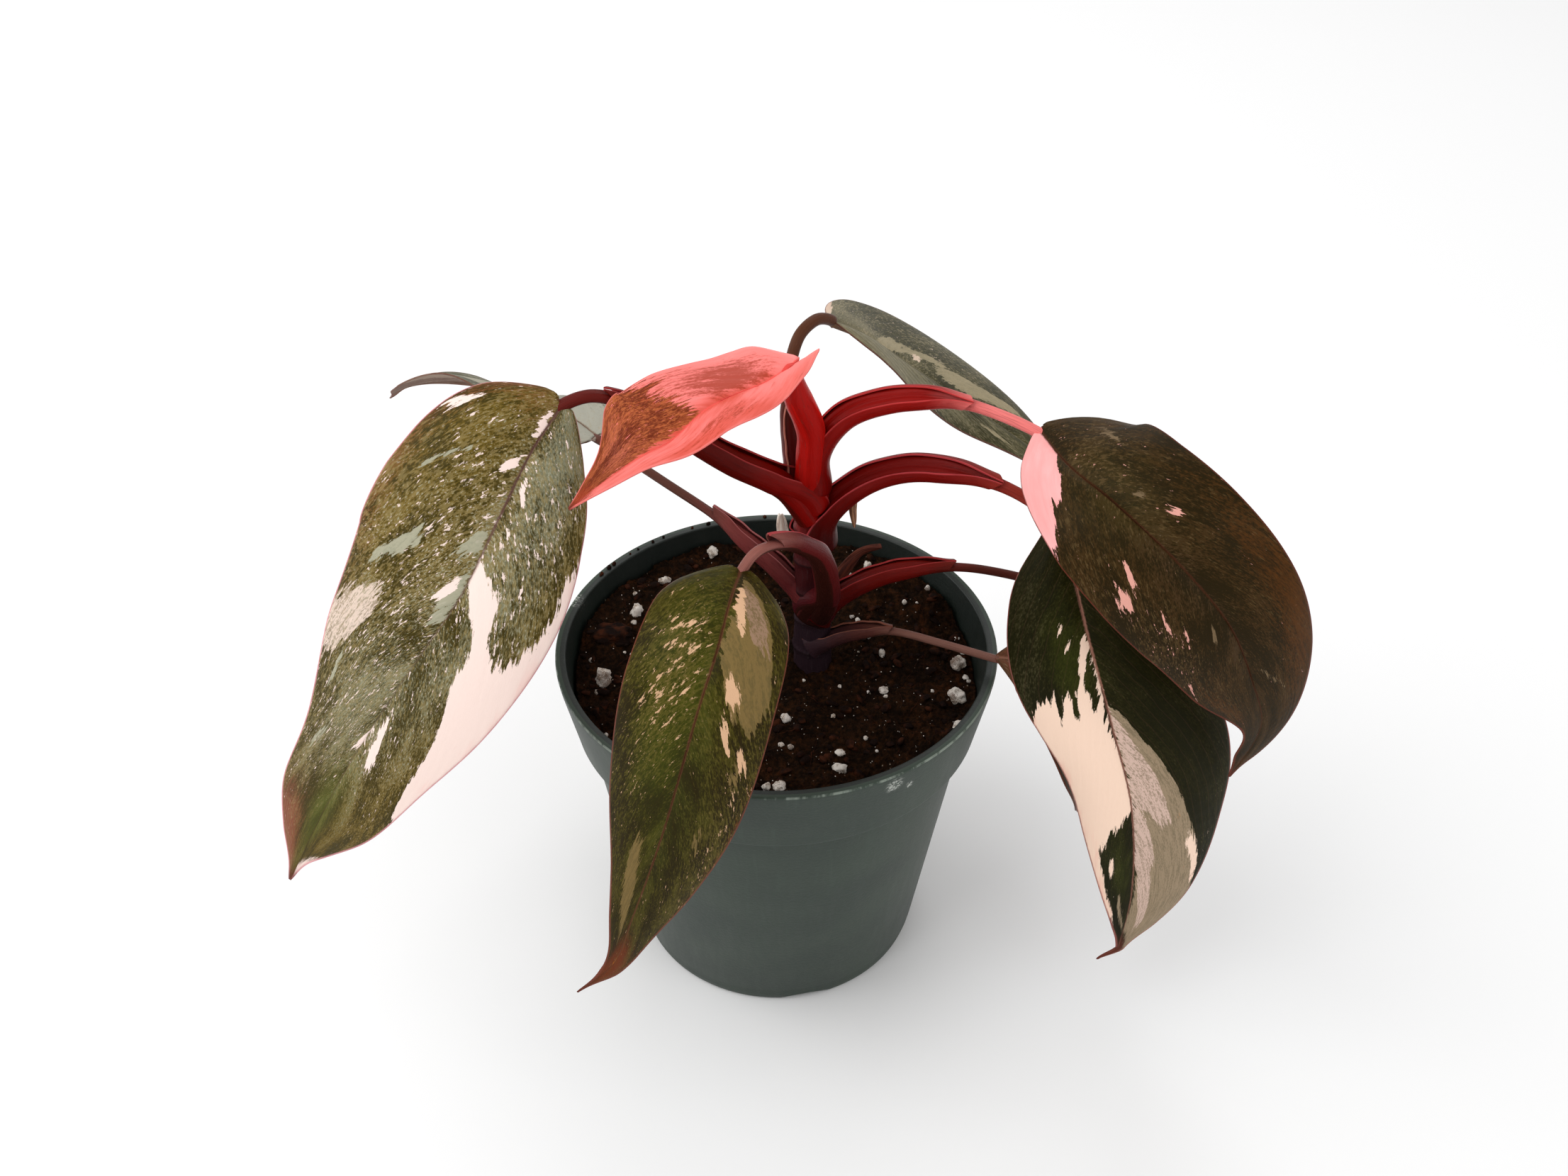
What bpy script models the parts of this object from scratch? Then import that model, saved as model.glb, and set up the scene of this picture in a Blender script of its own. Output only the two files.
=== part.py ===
# A potted pink princess philodendron: a green nursery pot, its potting mix with perlite,
# one stem, nine leaves that each have a sheathed petiole and a blade, and three dry bracts.
# Lengths are in millimetres and are scaled to metres where a mesh is made. +Z is up and the
# origin is the centre of the pot's underside. The front, -Y, is the side that is looked at.
import bisect
import math
import random

import bmesh
import bpy
from mathutils import Vector

MM = 0.001
CLEAR = 0.35  # gap between pieces that touch

# Pot
POT_HEIGHT = 92.0
RIM_RADIUS = 54.0
RIM_WIDTH = 2.6
COLLAR_HEIGHT = 19.0
COLLAR_FOOT_RADIUS = 50.4
BODY_TOP_RADIUS = 47.6
BASE_RADIUS = 36.8
WALL = 1.3
FLOOR = 1.3
EDGE_ROUND = 1.2
POT_STEPS = 56
DRAIN_COUNT = 4
DRAIN_WIDTH = 16.0
DRAIN_HEIGHT = 2.2
DRAIN_DEPTH = 9.0
DRAIN_TURN = 12.0  # degrees that the first drain slot stands to the right of the front

# Potting mix
SOIL_LEVEL = 80.0
SOIL_RELIEF = 1.1
SOIL_BANK = 7.0  # how much higher the mix stands against the back of the wall
SOIL_RINGS = (14.0, 22.0, 29.0, 36.0, 43.0)
STEM_HOLE_DEPTH = 24.0
# Perlite grains that show from the front: place and radius. The rest are strewn behind the leaves.
GRAINS = (
    (24.2, 38.3, 1.2), (20.9, 19.3, 0.9), (26.7, 8.6, 1.1), (45.6, 4, 2), (44.3, -6.8, 1.9),
    (26.4, -5.5, 1.1), (-17.4, 43.1, 1.5), (-29.5, 30.9, 1.4), (-35.9, 18, 1.8), (-42.6, -4.5, 2),
    (-2.2, -38.8, 1.1), (0.9, -39.2, 1.6), (14.9, -32.9, 1.4), (15.1, -27.9, 1.1), (2.3, -15, 1.7),
    (43.7, -19, 1.2),
)
STREWN_GRAINS = 12
STREWN_RADII = (0.9, 1.7)
GRAIN_SEED = 11

# Stem
STEM_POINTS = ((9, 7, 58), (9, 7, 80), (9, 7, 100), (8.5, 7, 118), (8, 6.5, 133))
STEM_RADII = (4.6, 4.8, 4.4, 4.2, 3.0)
STEM_RINGS = 22
STEM_SIDES = 14
STEM_NODE_GAP = 9.0  # height between the ring scars
STEM_NODE_SWELL = 0.35

# Blades
BLADE_THICK = 0.9
BLADE_ROWS = 16
BLADE_COLUMNS = 8
WIDTH_AT = (0.0, 0.06, 0.2, 0.38, 0.56, 0.74, 0.9, 1.0)  # shares of the midrib at the widths below
TIP_WIDTH = 0.4
SWEEP = 0.10  # how far the side veins lead towards the tip, as a share of the blade's length

# Each blade: points of its midrib from the petiole to the tip, the directions that its upper
# face looks at the base, middle and tip, the half widths left and right of the midrib as seen
# from above with the tip ahead, how far the two basal lobes reach back, the angles in degrees
# by which the halves rise from the midrib and bend on towards the margin, and the margin's
# wave (height, count, phase).
BLADES = {
    "left": dict(
        midrib=((-45, -10, 165), (-51, -19, 159), (-57, -29, 150), (-65, -39, 137),
                (-80, -46, 117), (-96, -48, 92), (-115, -45, 56)),
        faces=((0.36, -0.67, 0.65), (-0.21, -0.92, 0.33), (-0.3, -0.95, 0.1)),
        left=(5.5, 13, 20.5, 21.5, 17, 12, 3), right=(7, 19, 27.5, 23.5, 14.5, 12, 5.5),
        lobes=(4, 3), fold=(10, 10), curl=(-22, -22), wave=(1.0, 1.5, 0.6)),
    "front": dict(
        midrib=((-7, -36, 141), (-9, -48, 142), (-11, -58, 139), (-15, -66, 129), (-23, -70, 99),
                (-31, -70, 72), (-37, -68, 53), (-46, -66, 41)),
        faces=((0.2, 0.04, 0.97), (-0.16, -0.98, 0.11), (-0.1, -0.99, -0.1)),
        left=(6, 12, 15, 15, 11, 5, 2), right=(6, 14, 17, 14.5, 8, 3.4, 1.2),
        lobes=(4, 5), fold=(10, 10), curl=(-24, -24), wave=(0.8, 1.5, 0.0)),
    "new": dict(
        midrib=((3, -6, 172), (-2, -9, 170), (-10, -14, 169), (-15, -18, 168), (-21, -24, 165),
                (-28, -28, 163), (-37, -31.4, 157.6), (-42, -33, 154)),
        faces=((-0.34, -0.05, 0.94), (-0.28, -0.23, 0.93), (-0.4, 0.0, 0.85)),
        left=(4, 8, 12, 12, 6.5, 4, 2), right=(3.5, 12.5, 13.5, 18.5, 19, 8.5, 3),
        lobes=(9, 3), fold=(17, 17), curl=(-10, -10), wave=(0.5, 1.0, 0.0)),
    "top": dict(
        midrib=((13, 26, 166), (21, 34, 158), (31, 43, 146), (43, 51, 133), (55, 57, 121),
                (67, 61, 110), (82, 63, 97)),
        faces=((0.55, 0.24, 0.8), (0.74, -0.08, 0.67), (0.66, -0.16, 0.73)),
        left=(5, 10.5, 20.5, 23.5, 23, 17, 7), right=(4, 9, 12, 11, 9, 7, 3),
        lobes=(1, 2), fold=(6, 6), curl=(-12, -12), wave=(0.8, 1.5, 0.0)),
    "right": dict(
        midrib=((56, -14, 161), (60, -27, 161), (68, -38, 159), (79, -47, 152), (91, -51, 139),
                (99, -50, 123), (105, -46, 106), (104, -38, 83)),
        faces=((-0.2, -0.2, 0.94), (0.25, -0.96, 0.13), (0.17, -0.91, -0.37)),
        left=(3, 20, 16.5, 17.5, 14.5, 6, 2), right=(4, 9, 16, 18, 13, 4, 2),
        lobes=(3.6, 4), fold=(20, 8), curl=(-24, -24), wave=(1.2, 1.5, 0.0)),
    "lower_right": dict(
        midrib=((62, -12, 137), (65, -20, 130), (69, -29, 117), (75, -37, 99), (82, -41, 76),
                (86, -41, 47), (86, -39, 20)),
        faces=((-0.16, -0.33, 0.93), (-0.06, -0.97, 0.23), (-0.06, -1.0, -0.08)),
        left=(8, 15, 20, 26, 21.5, 15, 5.5), right=(3, 12.5, 19, 14, 11.5, 7.2, 2),
        lobes=(6, 1), fold=(8, 8), curl=(-24, -24), wave=(0.8, 1.5, 0.0)),
    "back_left": dict(
        midrib=((-43, 24, 136), (-49, 30, 137), (-61, 40, 138), (-75, 52, 134), (-89, 62, 129),
                (-99, 68, 124), (-105, 72, 118)),
        faces=((0.1, 0.0, 1.0), (0.33, 0.45, 0.83), (-0.65, 0.25, 0.72)),
        left=(6, 13, 16, 17, 15, 10, 3), right=(6, 13, 16, 17, 15, 10, 3),
        lobes=(4, 4), fold=(3, 3), curl=(-4, -4), wave=(0.8, 1.5, 0.0)),
    "low": dict(
        midrib=((52, -12, 97), (59, -14, 97), (68, -16, 88), (76, -14, 68), (78, -10, 43)),
        faces=((0.1, -0.3, 0.95), (0.7, -0.3, 0.6), (0.9, -0.3, 0.2)),
        left=(2, 7, 13, 15, 13, 9, 3), right=(2, 7, 13, 15, 13, 9, 3),
        lobes=(0, 0), fold=(8, 8), curl=(-14, -14), wave=(0.6, 1.5, 0.0)),
    "hidden": dict(
        midrib=((67, 4, 106), (76, 0, 96), (88, -2, 80), (99, 0, 60), (107, 4, 42)),
        faces=((0.4, 0.0, 0.9), (0.8, -0.2, 0.6), (0.9, -0.2, 0.4)),
        left=(7, 12, 16, 17, 15, 10, 3), right=(7, 12, 16, 17, 15, 10, 3),
        lobes=(5, 5), fold=(8, 8), curl=(-14, -14), wave=(0.6, 1.5, 0.0)),
}

# Each petiole: points from the stem to the blade, its radii at the stem, at the end of its sheath
# and at the blade, the share of its length that is sheathed, and the direction that its groove
# faces at the stem.
PETIOLE_RINGS = 20
PETIOLE_SIDES = 10
PETIOLES = {
    "left": dict(
        points=((8, 5, 126), (2, 4, 135), (-10, 2, 143), (-22, -2, 154), (-32, -6, 163),
                (-39, -8, 166), (-45, -10, 165)),
        radii=(3.6, 2.4, 1.7), sheath=0.80, faces=(0.5, 0, 1)),
    "front": dict(
        points=((10, 5, 95), (14, -1, 106), (14, -7, 118), (11, -14, 130), (6, -21, 138),
                (0, -29, 143), (-4, -34, 144), (-7, -36, 141)),
        radii=(2.8, 2.3, 1.6), sheath=0.75, faces=(0, 1, 0)),
    "new": dict(
        points=((8, 6, 128), (8, 4, 140), (8, 2, 151), (5, -2, 162), (3, -6, 172)),
        radii=(3.0, 2.6, 1.5), sheath=0.62, faces=(-0.6, 1, 0)),
    "top": dict(
        points=((6, 8, 130), (4, 10, 146), (3, 13, 158), (5, 17, 166), (9, 22, 168), (13, 26, 166)),
        radii=(3.0, 2.2, 1.4), sheath=0.5, faces=(0, -1, 0)),
    "right": dict(
        points=((8, 6, 131), (10, 5, 145), (16, 4, 154), (26, 2, 159), (36, -1, 161),
                (45, -7, 162), (56, -14, 161)),
        radii=(3.2, 2.5, 1.7), sheath=0.76, faces=(-1, 0, 0.3)),
    "lower_right": dict(
        points=((9, 6, 116), (12, 5, 127), (20, 4, 136), (30, 2, 141), (42, -3, 143),
                (53, -9, 142), (62, -12, 137)),
        radii=(3.3, 2.7, 1.7), sheath=0.78, faces=(-1, 0, 0.5)),
    "back_left": dict(
        points=((8, 8, 98), (0, 9, 108), (-8, 11, 115), (-14, 14, 119), (-27, 19, 126),
                (-38, 23, 132), (-43, 24, 136)),
        radii=(2.8, 2.2, 1.4), sheath=0.5, faces=(0.5, 0, 1)),
    "low": dict(
        points=((9, 5, 86), (18, 3, 92), (28, 0, 95), (40, -6, 96), (52, -12, 97)),
        radii=(2.6, 2.0, 1.2), sheath=0.45, faces=(-0.3, 0, 1)),
    "hidden": dict(
        points=((10, 6, 94), (16, 7, 101), (26, 7, 107), (37, 6, 110), (50, 5, 110), (67, 3, 107)),
        radii=(2.8, 2.1, 1.4), sheath=0.6, faces=(-0.5, 0, 1)),
}

# Dry bracts left by old leaves: points, half width and half thickness at the foot
BRACT_RINGS = 8
BRACT_SIDES = 8
BRACTS = {
    "pale": dict(points=((5, 10, 107), (2, 13, 113), (1, 14, 120)), size=(1.9, 0.6)),
    "hanging": dict(points=((18, 5, 132), (18, 6, 127), (18.5, 6, 122)), size=(1.0, 0.7)),
    "curled": dict(points=((12, 10, 97), (17, 14, 103), (21, 16, 107), (26, 17, 108)), size=(2.0, 0.7)),
}


def smooth(knots, values, t):
    """The value at t of a smooth curve through values at knots, straight past both ends."""
    last = len(knots) - 1

    def slope(k):
        a, b = max(k - 1, 0), min(k + 1, last)
        return (values[b] - values[a]) / (knots[b] - knots[a])

    if t <= knots[0]:
        return values[0] + slope(0) * (t - knots[0])
    if t >= knots[-1]:
        return values[-1] + slope(last) * (t - knots[-1])
    i = bisect.bisect_right(knots, t) - 1
    gap = knots[i + 1] - knots[i]
    x = (t - knots[i]) / gap
    ease = x * x * (3 - 2 * x)
    bend = slope(i) * (gap * x * (1 - x) ** 2) - slope(i + 1) * (gap * x * x * (1 - x))
    return values[i] * (1 - ease) + values[i + 1] * ease + bend


class Path:
    """A smooth line through points; t runs from 0 to 1 along it."""

    def __init__(self, points):
        self.points = [Vector(p) for p in points]
        gaps = [(b - a).length for a, b in zip(self.points, self.points[1:])]
        self.length = sum(gaps)
        self.knots = [sum(gaps[:i]) / self.length for i in range(len(gaps) + 1)]

    def at(self, t):
        return smooth(self.knots, self.points, t)

    def along(self, t):
        return (self.at(t + 0.004) - self.at(t - 0.004)).normalized()


def start_clean():
    for obj in list(bpy.data.objects):
        bpy.data.objects.remove(obj)


def collection(name):
    made = bpy.data.collections.new(name)
    bpy.context.scene.collection.children.link(made)
    return made


def material(name, colour, roughness):
    made = bpy.data.materials.new(name)
    made.use_nodes = True
    shader = made.node_tree.nodes["Principled BSDF"]
    shader.inputs["Base Color"].default_value = (*colour, 1.0)
    shader.inputs["Roughness"].default_value = roughness
    shader.inputs["Metallic"].default_value = 0.0
    return made


def new_object(name, bm, finish, home):
    """An object of this bmesh, whose points are in millimetres."""
    bmesh.ops.scale(bm, vec=(MM, MM, MM), verts=bm.verts)
    mesh = bpy.data.meshes.new(name)
    bm.to_mesh(mesh)
    bm.free()
    mesh.shade_smooth()
    mesh.set_sharp_from_angle(angle=math.radians(40))
    mesh.materials.append(finish)
    obj = bpy.data.objects.new(name, mesh)
    home.objects.link(obj)
    return obj


def apply_modifiers(obj):
    graph = bpy.context.evaluated_depsgraph_get()
    mesh = bpy.data.meshes.new_from_object(obj.evaluated_get(graph))
    obj.modifiers.clear()
    obj.data = mesh


def turned(name, profile, steps, finish, home):
    """A solid of revolution. The profile, of (radius, height), runs down its outer side."""
    bm = bmesh.new()
    points = [bm.verts.new((r, 0.0, z)) for r, z in profile]
    for a, b in zip(points, points[1:]):
        bm.edges.new((a, b))
    obj = new_object(name, bm, finish, home)
    screw = obj.modifiers.new("Turn", "SCREW")
    screw.steps = screw.render_steps = steps
    screw.use_merge_vertices = True
    screw.merge_threshold = 0.0001
    screw.use_smooth_shade = True
    apply_modifiers(obj)
    return obj


def grid(rows, columns, place):
    """A sheet whose points are placed by place(u, v), with u from 0 to 1 and v from -1 to 1."""
    bm = bmesh.new()
    bmesh.ops.create_grid(bm, x_segments=rows, y_segments=columns, size=1.0)
    for vert in bm.verts:
        vert.co = place((vert.co.x + 1) / 2, vert.co.y)
    return bm


def tube(rings, sides, place):
    """A closed tube whose skin is placed by place(u, v), with v going once round from -1 to 1."""
    bm = grid(rings, sides, place)
    bmesh.ops.remove_doubles(bm, verts=bm.verts, dist=0.001)
    bmesh.ops.holes_fill(bm, edges=[e for e in bm.edges if e.is_boundary], sides=0)
    bmesh.ops.recalc_face_normals(bm, faces=bm.faces)
    return bm


def boxes_meet(a, b):
    corners_a = [Vector(c) for c in a.bound_box]
    corners_b = [Vector(c) for c in b.bound_box]
    return all(
        min(c[k] for c in corners_a) - MM <= max(c[k] for c in corners_b)
        and min(c[k] for c in corners_b) - MM <= max(c[k] for c in corners_a)
        for k in range(3)
    )


def keep_largest_body(obj):
    bm = bmesh.new()
    bm.from_mesh(obj.data)
    left, bodies = set(bm.verts), []
    while left:
        body, edge = set(), {left.pop()}
        while edge:
            body |= edge
            edge = {e.other_vert(v) for v in edge for e in v.link_edges} - body
        left -= body
        bodies.append(body)
    bodies.sort(key=len, reverse=True)
    bmesh.ops.delete(bm, geom=[v for body in bodies[1:] for v in body], context="VERTS")
    bm.to_mesh(obj.data)
    bm.free()


def boolean(obj, operation, cutter=None, cutters=None):
    step = obj.modifiers.new("Join or cut", "BOOLEAN")
    step.operation = operation
    step.solver = "EXACT"
    if cutters:
        step.operand_type = "COLLECTION"
        step.collection = cutters
    else:
        step.object = cutter
    apply_modifiers(obj)


def cut_clear(obj, cutters):
    """Trims obj by the cutters that reach it and keeps the largest piece that is left."""
    for cutter in cutters:
        if boxes_meet(obj, cutter):
            boolean(obj, "DIFFERENCE", cutter)
    keep_largest_body(obj)


def wall_inside(z):
    """Radius of the pot's inner wall at a height."""
    collar_foot = POT_HEIGHT - COLLAR_HEIGHT
    if z >= collar_foot:
        share = (z - collar_foot) / COLLAR_HEIGHT
        return COLLAR_FOOT_RADIUS - WALL + share * (RIM_RADIUS - COLLAR_FOOT_RADIUS - RIM_WIDTH + WALL)
    return BASE_RADIUS - WALL + z / collar_foot * (BODY_TOP_RADIUS - BASE_RADIUS)


def make_pot(finish, home):
    collar_foot = POT_HEIGHT - COLLAR_HEIGHT
    corner = [
        (BASE_RADIUS - EDGE_ROUND * (1 - math.cos(a)), EDGE_ROUND * (1 - math.sin(a)))
        for a in (0.0, math.pi / 4, math.pi / 2)
    ]
    profile = [
        (RIM_RADIUS - 0.4, POT_HEIGHT),
        (RIM_RADIUS, POT_HEIGHT - 0.5),
        (RIM_RADIUS - 0.3, POT_HEIGHT - 2.5),
        (COLLAR_FOOT_RADIUS, collar_foot),
        (BODY_TOP_RADIUS, collar_foot - WALL),
        *corner,
        (0.0, 0.0),
        (0.0, FLOOR),
        (wall_inside(FLOOR), FLOOR),
        (wall_inside(collar_foot - WALL), collar_foot - WALL / 2),
        (wall_inside(collar_foot), collar_foot + WALL / 2),
        (RIM_RADIUS - RIM_WIDTH, POT_HEIGHT - 0.5),
        (RIM_RADIUS - RIM_WIDTH + 0.3, POT_HEIGHT),
        (RIM_RADIUS - 0.4, POT_HEIGHT),
    ]
    pot = turned("pot", profile, POT_STEPS, finish, home)
    # Radius of a slot's arched top
    arch = (DRAIN_WIDTH ** 2 / 4 + DRAIN_HEIGHT ** 2) / (2 * DRAIN_HEIGHT)
    slots = collection("drain slots")
    for i in range(DRAIN_COUNT):
        turn = math.radians(DRAIN_TURN + 360 * i / DRAIN_COUNT)
        out = BASE_RADIUS - DRAIN_DEPTH / 2 + 2
        centre = Vector((out * math.sin(turn), -out * math.cos(turn), DRAIN_HEIGHT - arch))
        bpy.ops.mesh.primitive_cylinder_add(
            vertices=64, radius=arch * MM, depth=(DRAIN_DEPTH + 4) * MM,
            location=centre * MM, rotation=(math.pi / 2, 0, turn),
        )
        slot = bpy.context.object
        slots.objects.link(slot)
        slot.users_collection[0].objects.unlink(slot)
    boolean(pot, "DIFFERENCE", cutters=slots)
    for slot in list(slots.objects):
        bpy.data.objects.remove(slot)
    return pot


def relief(x, y):
    """Height of the potting mix over its level: low waves, and a bank along the back wall."""
    waves = math.sin(0.31 * x + 0.9) * math.cos(0.27 * y - 0.4) + 0.6 * math.sin(0.53 * y + 0.21 * x)
    bank = 1.0
    for share in ((y - 0.25 * x + 14) / 40, (math.hypot(x, y) - 16) / 32):
        share = min(max(share, 0.0), 1.0)
        bank *= share * share * (3 - 2 * share)
    return SOIL_RELIEF * waves * 0.6 + SOIL_BANK * bank


def make_soil(finish, home):
    stem = Vector(STEM_POINTS[1])
    hole = max(STEM_RADII) + STEM_NODE_SWELL + CLEAR
    collar_foot = POT_HEIGHT - COLLAR_HEIGHT
    edge = wall_inside(SOIL_LEVEL) - CLEAR
    profile = [
        (0.0, SOIL_LEVEL - STEM_HOLE_DEPTH),
        (hole, SOIL_LEVEL - STEM_HOLE_DEPTH),
        (hole, SOIL_LEVEL),
        *((r, SOIL_LEVEL) for r in SOIL_RINGS),
        (edge, SOIL_LEVEL),
        (wall_inside(collar_foot + WALL) - CLEAR, collar_foot + WALL),
        (wall_inside(collar_foot - WALL) - CLEAR, collar_foot + WALL - 0.5),
        (wall_inside(FLOOR) - CLEAR, FLOOR + CLEAR),
        (0.0, FLOOR + CLEAR),
    ]
    soil = turned("potting_mix", profile, POT_STEPS, finish, home)
    for vert in soil.data.vertices:
        x, y, z = (c / MM for c in vert.co)
        radius = math.hypot(x, y)
        if z < SOIL_LEVEL - STEM_HOLE_DEPTH - 0.1 or radius > edge - 0.1 and z < SOIL_LEVEL - 0.1:
            continue
        if z < SOIL_LEVEL - 0.1 and radius > hole + 0.1:
            continue
        share = min(max((edge - radius) / (edge - hole), 0.0), 1.0)  # 1 at the stem, 0 at the wall
        x, y = x + stem.x * share, y + stem.y * share
        if z > SOIL_LEVEL - 0.1:
            z += relief(x, y)
        vert.co = (x * MM, y * MM, z * MM)
    grains = collection("perlite grains")
    draw = random.Random(GRAIN_SEED)
    places = list(GRAINS)
    while len(places) < len(GRAINS) + STREWN_GRAINS:
        turn, out = draw.uniform(0.9, 1.35) * math.pi, 44 * math.sqrt(draw.uniform(0.1, 1.0))
        x, y = out * math.cos(turn), out * math.sin(turn)
        if all(math.hypot(x - px, y - py) > 6 for px, py, _ in places):
            places.append((x, y, draw.uniform(*STREWN_RADII)))
    for x, y, size in places:
        bm = bmesh.new()
        bmesh.ops.create_icosphere(bm, subdivisions=1, radius=1.0)
        bmesh.ops.scale(bm, vec=[size * draw.uniform(0.8, 1.1) for _ in range(3)], verts=bm.verts)
        grain = new_object("grain", bm, finish, grains)
        grain.location = Vector((x, y, SOIL_LEVEL + relief(x, y) + 0.1 * size)) * MM
    bpy.context.view_layer.update()
    boolean(soil, "UNION", cutters=grains)
    for grain in list(grains.objects):
        bpy.data.objects.remove(grain)
    return soil


def make_stem(name, grow, finish, home):
    path = Path(STEM_POINTS)

    def skin(u, v):
        centre = path.at(u)
        scar = math.exp(-(((centre.z / STEM_NODE_GAP) % 1.0 - 0.5) / 0.12) ** 2)
        radius = smooth(path.knots, STEM_RADII, u) + STEM_NODE_SWELL * scar + grow
        centre.z += grow * (2 * u - 1)
        return centre + Vector((math.cos(math.pi * v), math.sin(math.pi * v), 0.0)) * radius

    return new_object(name, tube(STEM_RINGS, STEM_SIDES, skin), finish, home)


def make_petiole(name, shape, grow, finish, home):
    """A stalk with a channel between two wings along its sheath, and round beyond it."""
    path = Path(shape["points"])
    groove = Vector(shape["faces"])
    frames = []
    for i in range(PETIOLE_RINGS + 1):
        u = i / PETIOLE_RINGS
        along = path.along(u)
        groove = (groove - along * groove.dot(along)).normalized()
        frames.append((path.at(u) + along * (grow * (2 * u - 1)), along, groove))

    def skin(u, v):
        centre, along, up = frames[round(u * PETIOLE_RINGS)]
        thick, middle, thin = shape["radii"]
        sheathed = u < shape["sheath"]
        radius = thick + (middle - thick) * u / shape["sheath"] if sheathed else thin
        if sheathed:
            wing = math.exp(-((abs(v) - 0.25) / 0.12) ** 2)
            channel = math.exp(-(v / 0.12) ** 2)
            radius *= 1 + 0.30 * wing - 0.55 * channel
        across = along.cross(up) * (1.22 if sheathed else 1.0)
        return centre + (up * math.cos(math.pi * v) + across * math.sin(math.pi * v)) * (radius + grow)

    return new_object(name, tube(PETIOLE_RINGS, PETIOLE_SIDES, skin), finish, home)


def make_bract(name, shape, finish, home):
    """A flat scale that narrows to a point."""
    path = Path(shape["points"])
    half_width, half_thick = shape["size"]

    def skin(u, v):
        along = path.along(u)
        across = along.cross(Vector((0.0, 1.0, 0.2))).normalized()
        taper = math.sqrt(1 - 0.96 * u * u)
        wide = across * (half_width * taper * math.cos(math.pi * v))
        return path.at(u) + wide + across.cross(along) * (half_thick * math.sin(math.pi * v))

    return new_object(name, tube(BRACT_RINGS, BRACT_SIDES, skin), finish, home)


def make_blade(name, shape, finish, home):
    """A thin leaf blade, whose rows follow its side veins from the midrib to the margin."""
    path = Path(shape["midrib"])
    facing = [Vector(f).normalized() for f in shape["faces"]]
    wave_height, wave_count, wave_phase = shape["wave"]

    def place(u, v):
        out = abs(v)
        half = (*shape["right" if v > 0 else "left"], TIP_WIDTH)
        reach = out * smooth(WIDTH_AT, half, u)
        lead = SWEEP * math.sin(math.pi * u) * out ** 1.5
        lobe = shape["lobes"][v > 0] / path.length * (1 - u) ** 5 * (2 * out - out * out)
        s = u + lead - lobe
        along = path.along(s)
        side = along.cross(smooth((0.0, 0.5, 1.0), facing, min(max(s, 0.0), 1.0))).normalized()
        up = side.cross(along)
        rise = math.radians(shape["fold"][v > 0] + shape["curl"][v > 0] * out)
        phase = 2 * math.pi * wave_count * u + wave_phase + (v > 0)
        wave = wave_height * math.sin(phase) * out * out * math.sin(math.pi * u)
        spread = side if v > 0 else -side
        return path.at(s) + spread * (reach * math.cos(rise)) + up * (reach * math.sin(rise) + wave)

    bm = grid(BLADE_ROWS, BLADE_COLUMNS, place)
    bmesh.ops.triangulate(bm, faces=bm.faces)
    blade = new_object(name, bm, finish, home)
    wall = blade.modifiers.new("Thickness", "SOLIDIFY")
    wall.thickness = BLADE_THICK * MM
    wall.offset = 0.0
    apply_modifiers(blade)
    return blade


def make_part():
    start_clean()
    home = collection("potted_pink_princess_philodendron")
    pot_green = material("pot green", (0.035, 0.075, 0.062), 0.5)
    soil_brown = material("potting mix", (0.035, 0.018, 0.010), 0.95)
    stem_red = material("stem red", (0.16, 0.02, 0.02), 0.4)
    leaf_dark = material("leaf dark", (0.07, 0.06, 0.02), 0.4)
    bract_cream = material("bract cream", (0.70, 0.60, 0.48), 0.6)
    bract_brown = material("bract brown", (0.12, 0.05, 0.03), 0.6)
    leaf_pink = material("leaf pink", (0.80, 0.22, 0.20), 0.4)
    make_pot(pot_green, home)
    make_soil(soil_brown, home)
    cutters = collection("clearances")
    make_stem("stem", 0.0, stem_red, home)
    stem_room = make_stem("stem clearance", CLEAR, stem_red, cutters)
    rooms = {}
    for name, shape in PETIOLES.items():
        petiole = make_petiole("petiole_" + name, shape, 0.0, stem_red, home)
        cut_clear(petiole, [stem_room, *rooms.values()])
        rooms[name] = make_petiole(name + " clearance", shape, CLEAR, stem_red, cutters)
    for name, shape in BRACTS.items():
        bract = make_bract("bract_" + name, shape, bract_cream if name == "pale" else bract_brown, home)
        cut_clear(bract, [stem_room, *rooms.values()])
    for name, shape in BLADES.items():
        blade = make_blade("leaf_" + name, shape, leaf_pink if name == "new" else leaf_dark, home)
        cut_clear(blade, [rooms[name]])
    for cutter in list(cutters.objects):
        bpy.data.objects.remove(cutter)


make_part()
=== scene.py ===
import bisect
import math
import random

import bmesh
import bpy
import numpy as np
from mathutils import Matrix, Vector, noise


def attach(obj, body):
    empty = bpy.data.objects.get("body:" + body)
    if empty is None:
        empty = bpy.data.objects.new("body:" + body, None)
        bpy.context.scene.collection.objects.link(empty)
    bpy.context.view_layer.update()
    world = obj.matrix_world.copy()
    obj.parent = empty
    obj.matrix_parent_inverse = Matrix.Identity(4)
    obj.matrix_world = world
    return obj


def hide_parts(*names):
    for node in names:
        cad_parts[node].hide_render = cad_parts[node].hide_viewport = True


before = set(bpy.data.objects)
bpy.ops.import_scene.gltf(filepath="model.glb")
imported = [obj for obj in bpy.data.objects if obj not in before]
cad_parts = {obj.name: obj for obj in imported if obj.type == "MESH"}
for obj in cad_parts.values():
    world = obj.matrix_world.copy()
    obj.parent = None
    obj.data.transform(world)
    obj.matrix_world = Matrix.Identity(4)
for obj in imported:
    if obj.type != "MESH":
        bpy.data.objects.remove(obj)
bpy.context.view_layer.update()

mm = 0.001
pi = math.pi
scene = bpy.context.scene


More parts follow.
